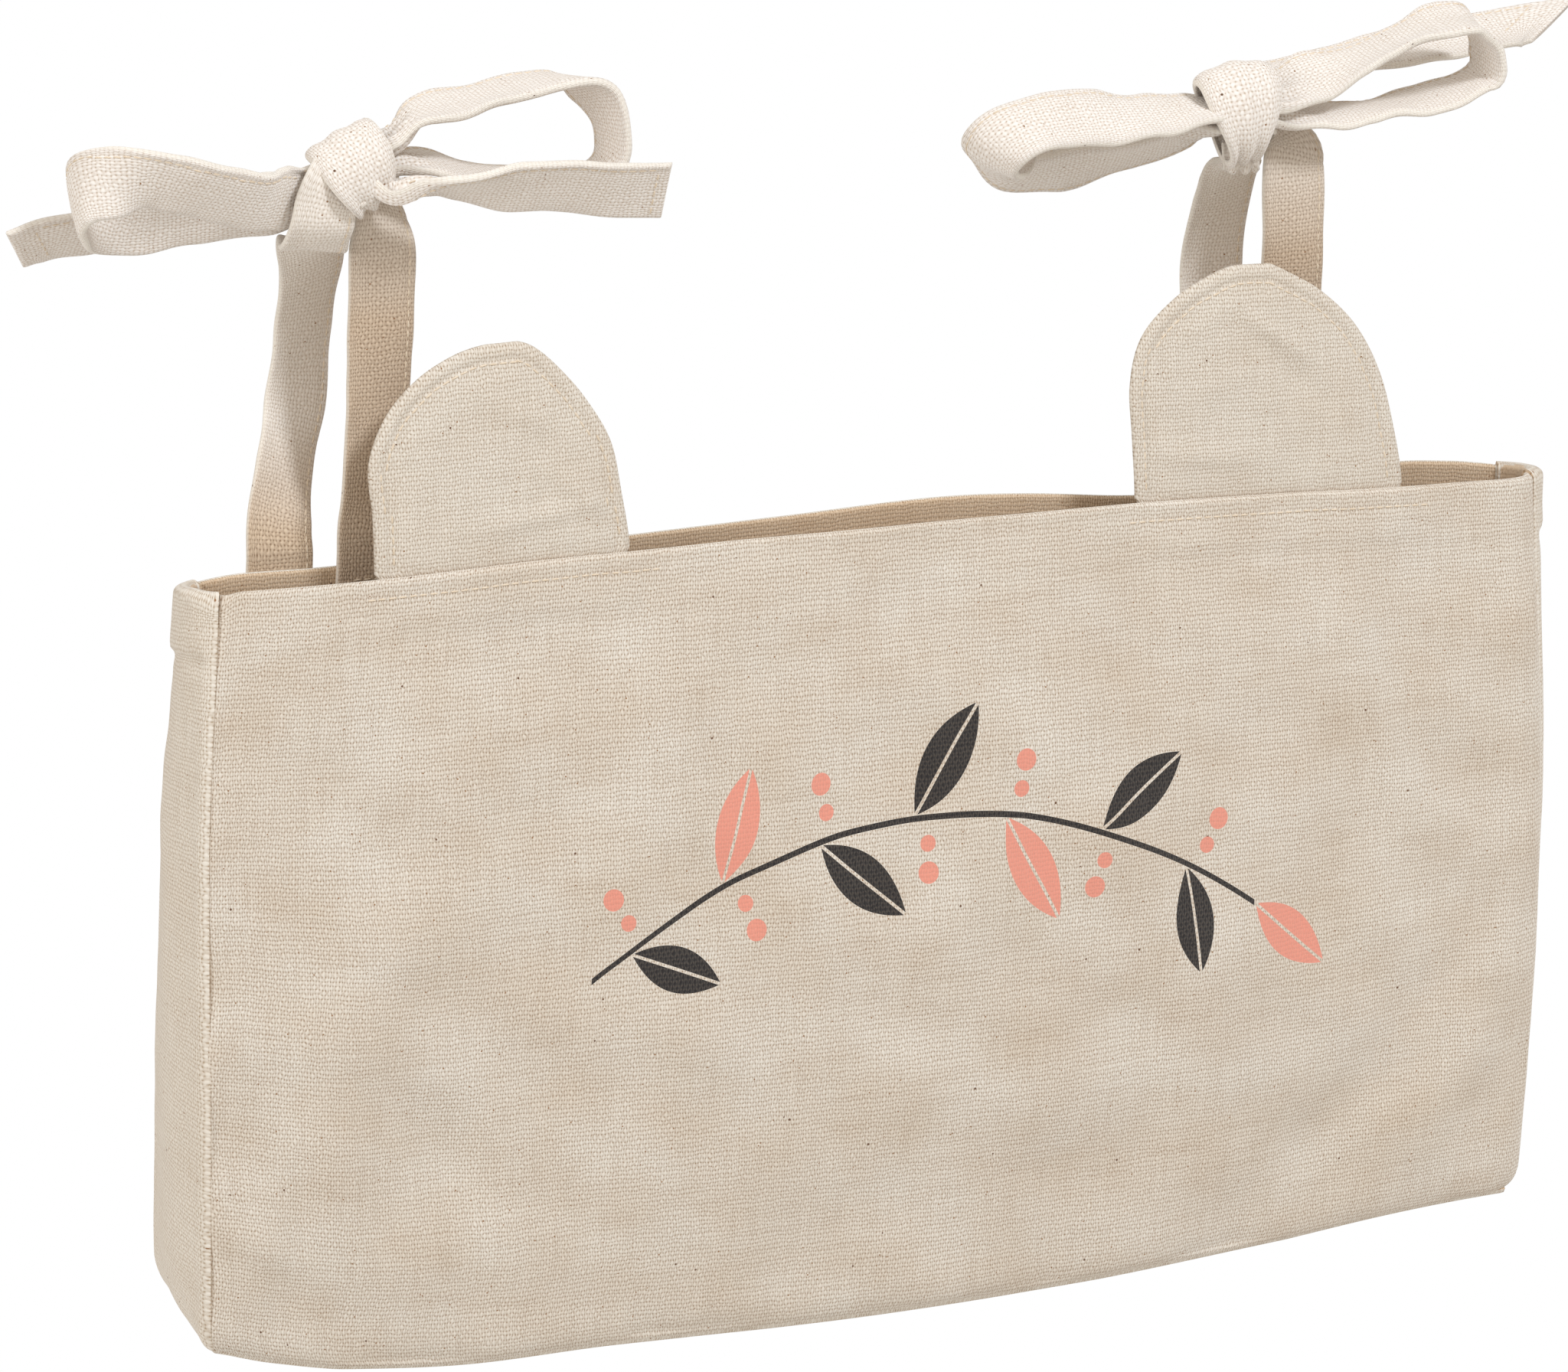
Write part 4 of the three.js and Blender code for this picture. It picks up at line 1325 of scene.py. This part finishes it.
# %% Strands of the right tie
RIGHT_STRANDS = {
    "rear_leg": dict(way=[
        *sewn_end("right_rear_leg"), (108, 5, 11, 10, 0, 0), (111, 13, 23, 10, 0, 0),
        (115, 21, 45, 10, 0, 0), (115, 22, 63, 10, 0, -1), (115, 18, 79, 10, 2, -1),
        (113, 10, 90, 9, 4, -3), (110, 2, 93.8, 9, 4, -1), (109, -3, 93.7, 10, 1, -1),
    ], end=0.7),
    "front_leg": dict(way=[
        *sewn_end("right_front_leg"), (130, -3.5, 11, 10, 0, 0), (130, -2, 26, 10, 0, 0),
        (129, -0.5, 55, 10, 0, 0), (128, -0.5, 76, 10, 0, -1), (127, 0, 92, 10, 0, 0),
        (128, 3, 98, 10, 2, 0), (124, 8, 102, 10, 1, -1), (118, 8.2, 104, 9, 0, -4),
    ], end=0.7),
    "loop_left": dict(way=[
        (99.5, -3, 111.6, 0, 10, 0), (93, -4, 112, 2, 9, 2), (84, -4, 111, 4, 9, 3),
        (68, -5, 111.3, 4, 8, 4), (55, -6, 112, 4, 7, 6), (42, -7, 111, 0, 8, 6), (34, -6, 107.5, -4, 8, 5),
        (31, -3, 102, -6, 8, 3), (35, 1, 97.5, -3, 9, 0), (44, 4, 94, 4, 7, -6), (57, 3, 94.6, 4, 6, -7),
        (72, 2, 97.2, 5, 7, -6), (87, 1, 100.6, 5, 7, -5), (94, -1, 103.6, 4, 8, -4),
        (100, -2.8, 106, 0, 10, -1),
    ], start=0.95, end=0.8),
    "loop_right": dict(way=[
        (113.5, -3.3, 114.6, 0, 9, 3), (120, -4, 115.2, 2, 8, 5), (129, -3, 118, 2, 8, 5),
        (145, -3, 123, 2, 10, 1), (156, -4, 128, 2, 10, 1), (167, -5, 132, 2, 10, 1),
        (177, -4, 132, 5, 9, 0), (183, -3, 125.5, 1, 9, -3), (184.5, -2, 118, 0, 10, -2),
        (181, -1, 114, 1, 10, -1), (168, -1, 110, 1, 10, 0), (150, -1.5, 108, 2, 10, -1),
        (133, -2.5, 107.6, 2, 10, 0), (121, -3, 108.8, 2, 9, 1), (114, -3, 109, 0, 10, 0),
    ], start=0.6, end=0.68),
    "tail_left": dict(way=[
        (101.8, 10.3, 106.2, -4, -6, 6), (92, 13, 105, -4, -6, 7), (80, 16, 103, -4, -6, 7),
        (64, 17, 101, -4, -6, 7), (51, 17, 100, -4, -5, 8),
    ], start=0.6, slant=4),
    "tail_right": dict(way=[
        (112, 12.2, 114, 1, 10, 0), (124, 14, 114, 3, 9, 1), (145, 18, 116, 4, 9, 1),
        (168, 21, 118, 4, 9, 2), (189, 23, 120, 4, 9, 3), (202, 23, 121.5, 3, 9, 3),
        (210, 22, 122.5, 4, 9, 4), (218, 20, 124, 4, 9, 3),
    ], start=0.6, slant=3),
}

print(len(LEFT_STRANDS), "strands in the left tie and", len(RIGHT_STRANDS), "in the right")

# %% Build the strands
STRAND_LOOKS = {
    "left_loop_left": dict(cup=0.4, wave=0.7),
    "left_loop_right": dict(cup=0.5, wave=0.5),
    "right_loop_left": dict(cup=0.5, wave=0.7),
    "right_loop_right": dict(cup=0.5, wave=1.0, start=0.8),
    "right_tail_right": dict(slant=9),
    "left_tail_right": dict(slant=-1),
    "left_rear_leg": dict(end=0.97, pleat=0.5),
    "left_front_leg": dict(end=0.97, pleat=0.5),
    "right_rear_leg": dict(end=0.55, pleat=0.8),
    "right_front_leg": dict(end=0.92, pleat=0.5),
}
straps = {}
for side, strands in (("left", LEFT_STRANDS), ("right", RIGHT_STRANDS)):
    for part, strand in strands.items():
        name = f"{side}_{part}"
        looks = {**strand, **STRAND_LOOKS.get(name, {})}
        straps[name] = band(f"{name}_strap", knot=KNOTS[side], **looks)

# %% [markdown]
# ## Knots
# The turn of strap that closes each bow: a band bent round the bow's axis, wide over the top and
# gathered at its foot, with the creases that pulling it tight leaves.


# %% Knot wraps
WRAP_STEPS = 110


def wrap(name, centre, axis, radii, half_top, half_foot, phase, cup):
    """One turn of strap; phase says which way it is widest, and cup how far its rims stand up."""
    along = Vector(axis).normalized()
    front = Vector((0, -1, 0))
    front = (front - along * front.dot(along)).normalized()
    up = along.cross(front)
    if up.z < 0:
        up = -up
    rings = []
    turn = math.pi * (radii[0] + radii[1])
    runs = [turn * k / WRAP_STEPS for k in range(WRAP_STEPS + 1)]
    for k in range(WRAP_STEPS + 1):
        angle = 2 * math.pi * (k % WRAP_STEPS) / WRAP_STEPS
        c, s = math.cos(angle), math.sin(angle)
        share = smooth((1 + math.cos(angle - phase)) / 2)
        half = lerp(half_foot, half_top, share)
        out = (up * (c / radii[1]) + front * (s / radii[0])).normalized()
        mid = Vector(centre) + up * (radii[1] * c) + front * (radii[0] * s)
        gather = 0.5 * (1 - share) + 0.2
        flutter = 0.5 * math.sin(2 * angle + phase)
        section = band_section(half, 1.2 * math.sin(angle), gather, -cup * share, flutter)
        rings.append([mid + along * a + out * (b * 1.25) for a, b in section])
    return close_band(name, rings, runs, looped=True)


WRAPS = {
    "left": dict(axis=(88, 0, 46), radii=(8.8, 10.2), half_top=10.2, half_foot=5.5, phase=0.5, cup=0.9),
    "right": dict(axis=(98, 0, 14), radii=(8.8, 12.8), half_top=11.5, half_foot=5, phase=0.3, cup=2.2),
}
for side, shape in WRAPS.items():
    straps[f"{side}_knot_wrap"] = wrap(f"{side}_knot_strap", KNOTS[side], **shape)

# %% [markdown]
# ## Which cloth stands for which solid
# Every CAD solid is cloth, so each is replaced and its solid hidden. A leg runs on down as its sewn
# end and an ear into its tab, so those solids are hidden too. The panels ride with the pocket's body
# and the knot wraps with the ties' body; ears, legs, loops and tails stay where they are made.

# %% Pocket
FLAT_PANELS = {
    "front_panel": (front_panel, 404, 222),
    "back_panel": (back_panel, 404, 222),
    "left_gusset": (left_gusset, 40, 222),
    "right_gusset": (right_gusset, 40, 222),
    "bottom_panel": (bottom_panel, 404, BOTTOM_FLAT),
}
for node, (obj, width, length) in FLAT_PANELS.items():
    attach(obj, "pocket")
    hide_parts(node)

# %% Ears
for (side, layer), obj in ears.items():
    middle, along, half = ear_axes(side)
    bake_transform(obj)
    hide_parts(f"{side}_ear_{layer}", f"{side}_ear_tab")

# %% Straps
for name, obj in straps.items():
    side = name.split("_")[0]
    if name.endswith("leg"):
        x = LEG_X[name] * MM
        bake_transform(obj)
        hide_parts(name, name.replace("leg", "end"))
    elif name.endswith("wrap"):
        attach(obj, "ties")
        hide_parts(name)
    else:
        way = -1 if name.endswith("_left") else 1
        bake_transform(obj)
        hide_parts(name)
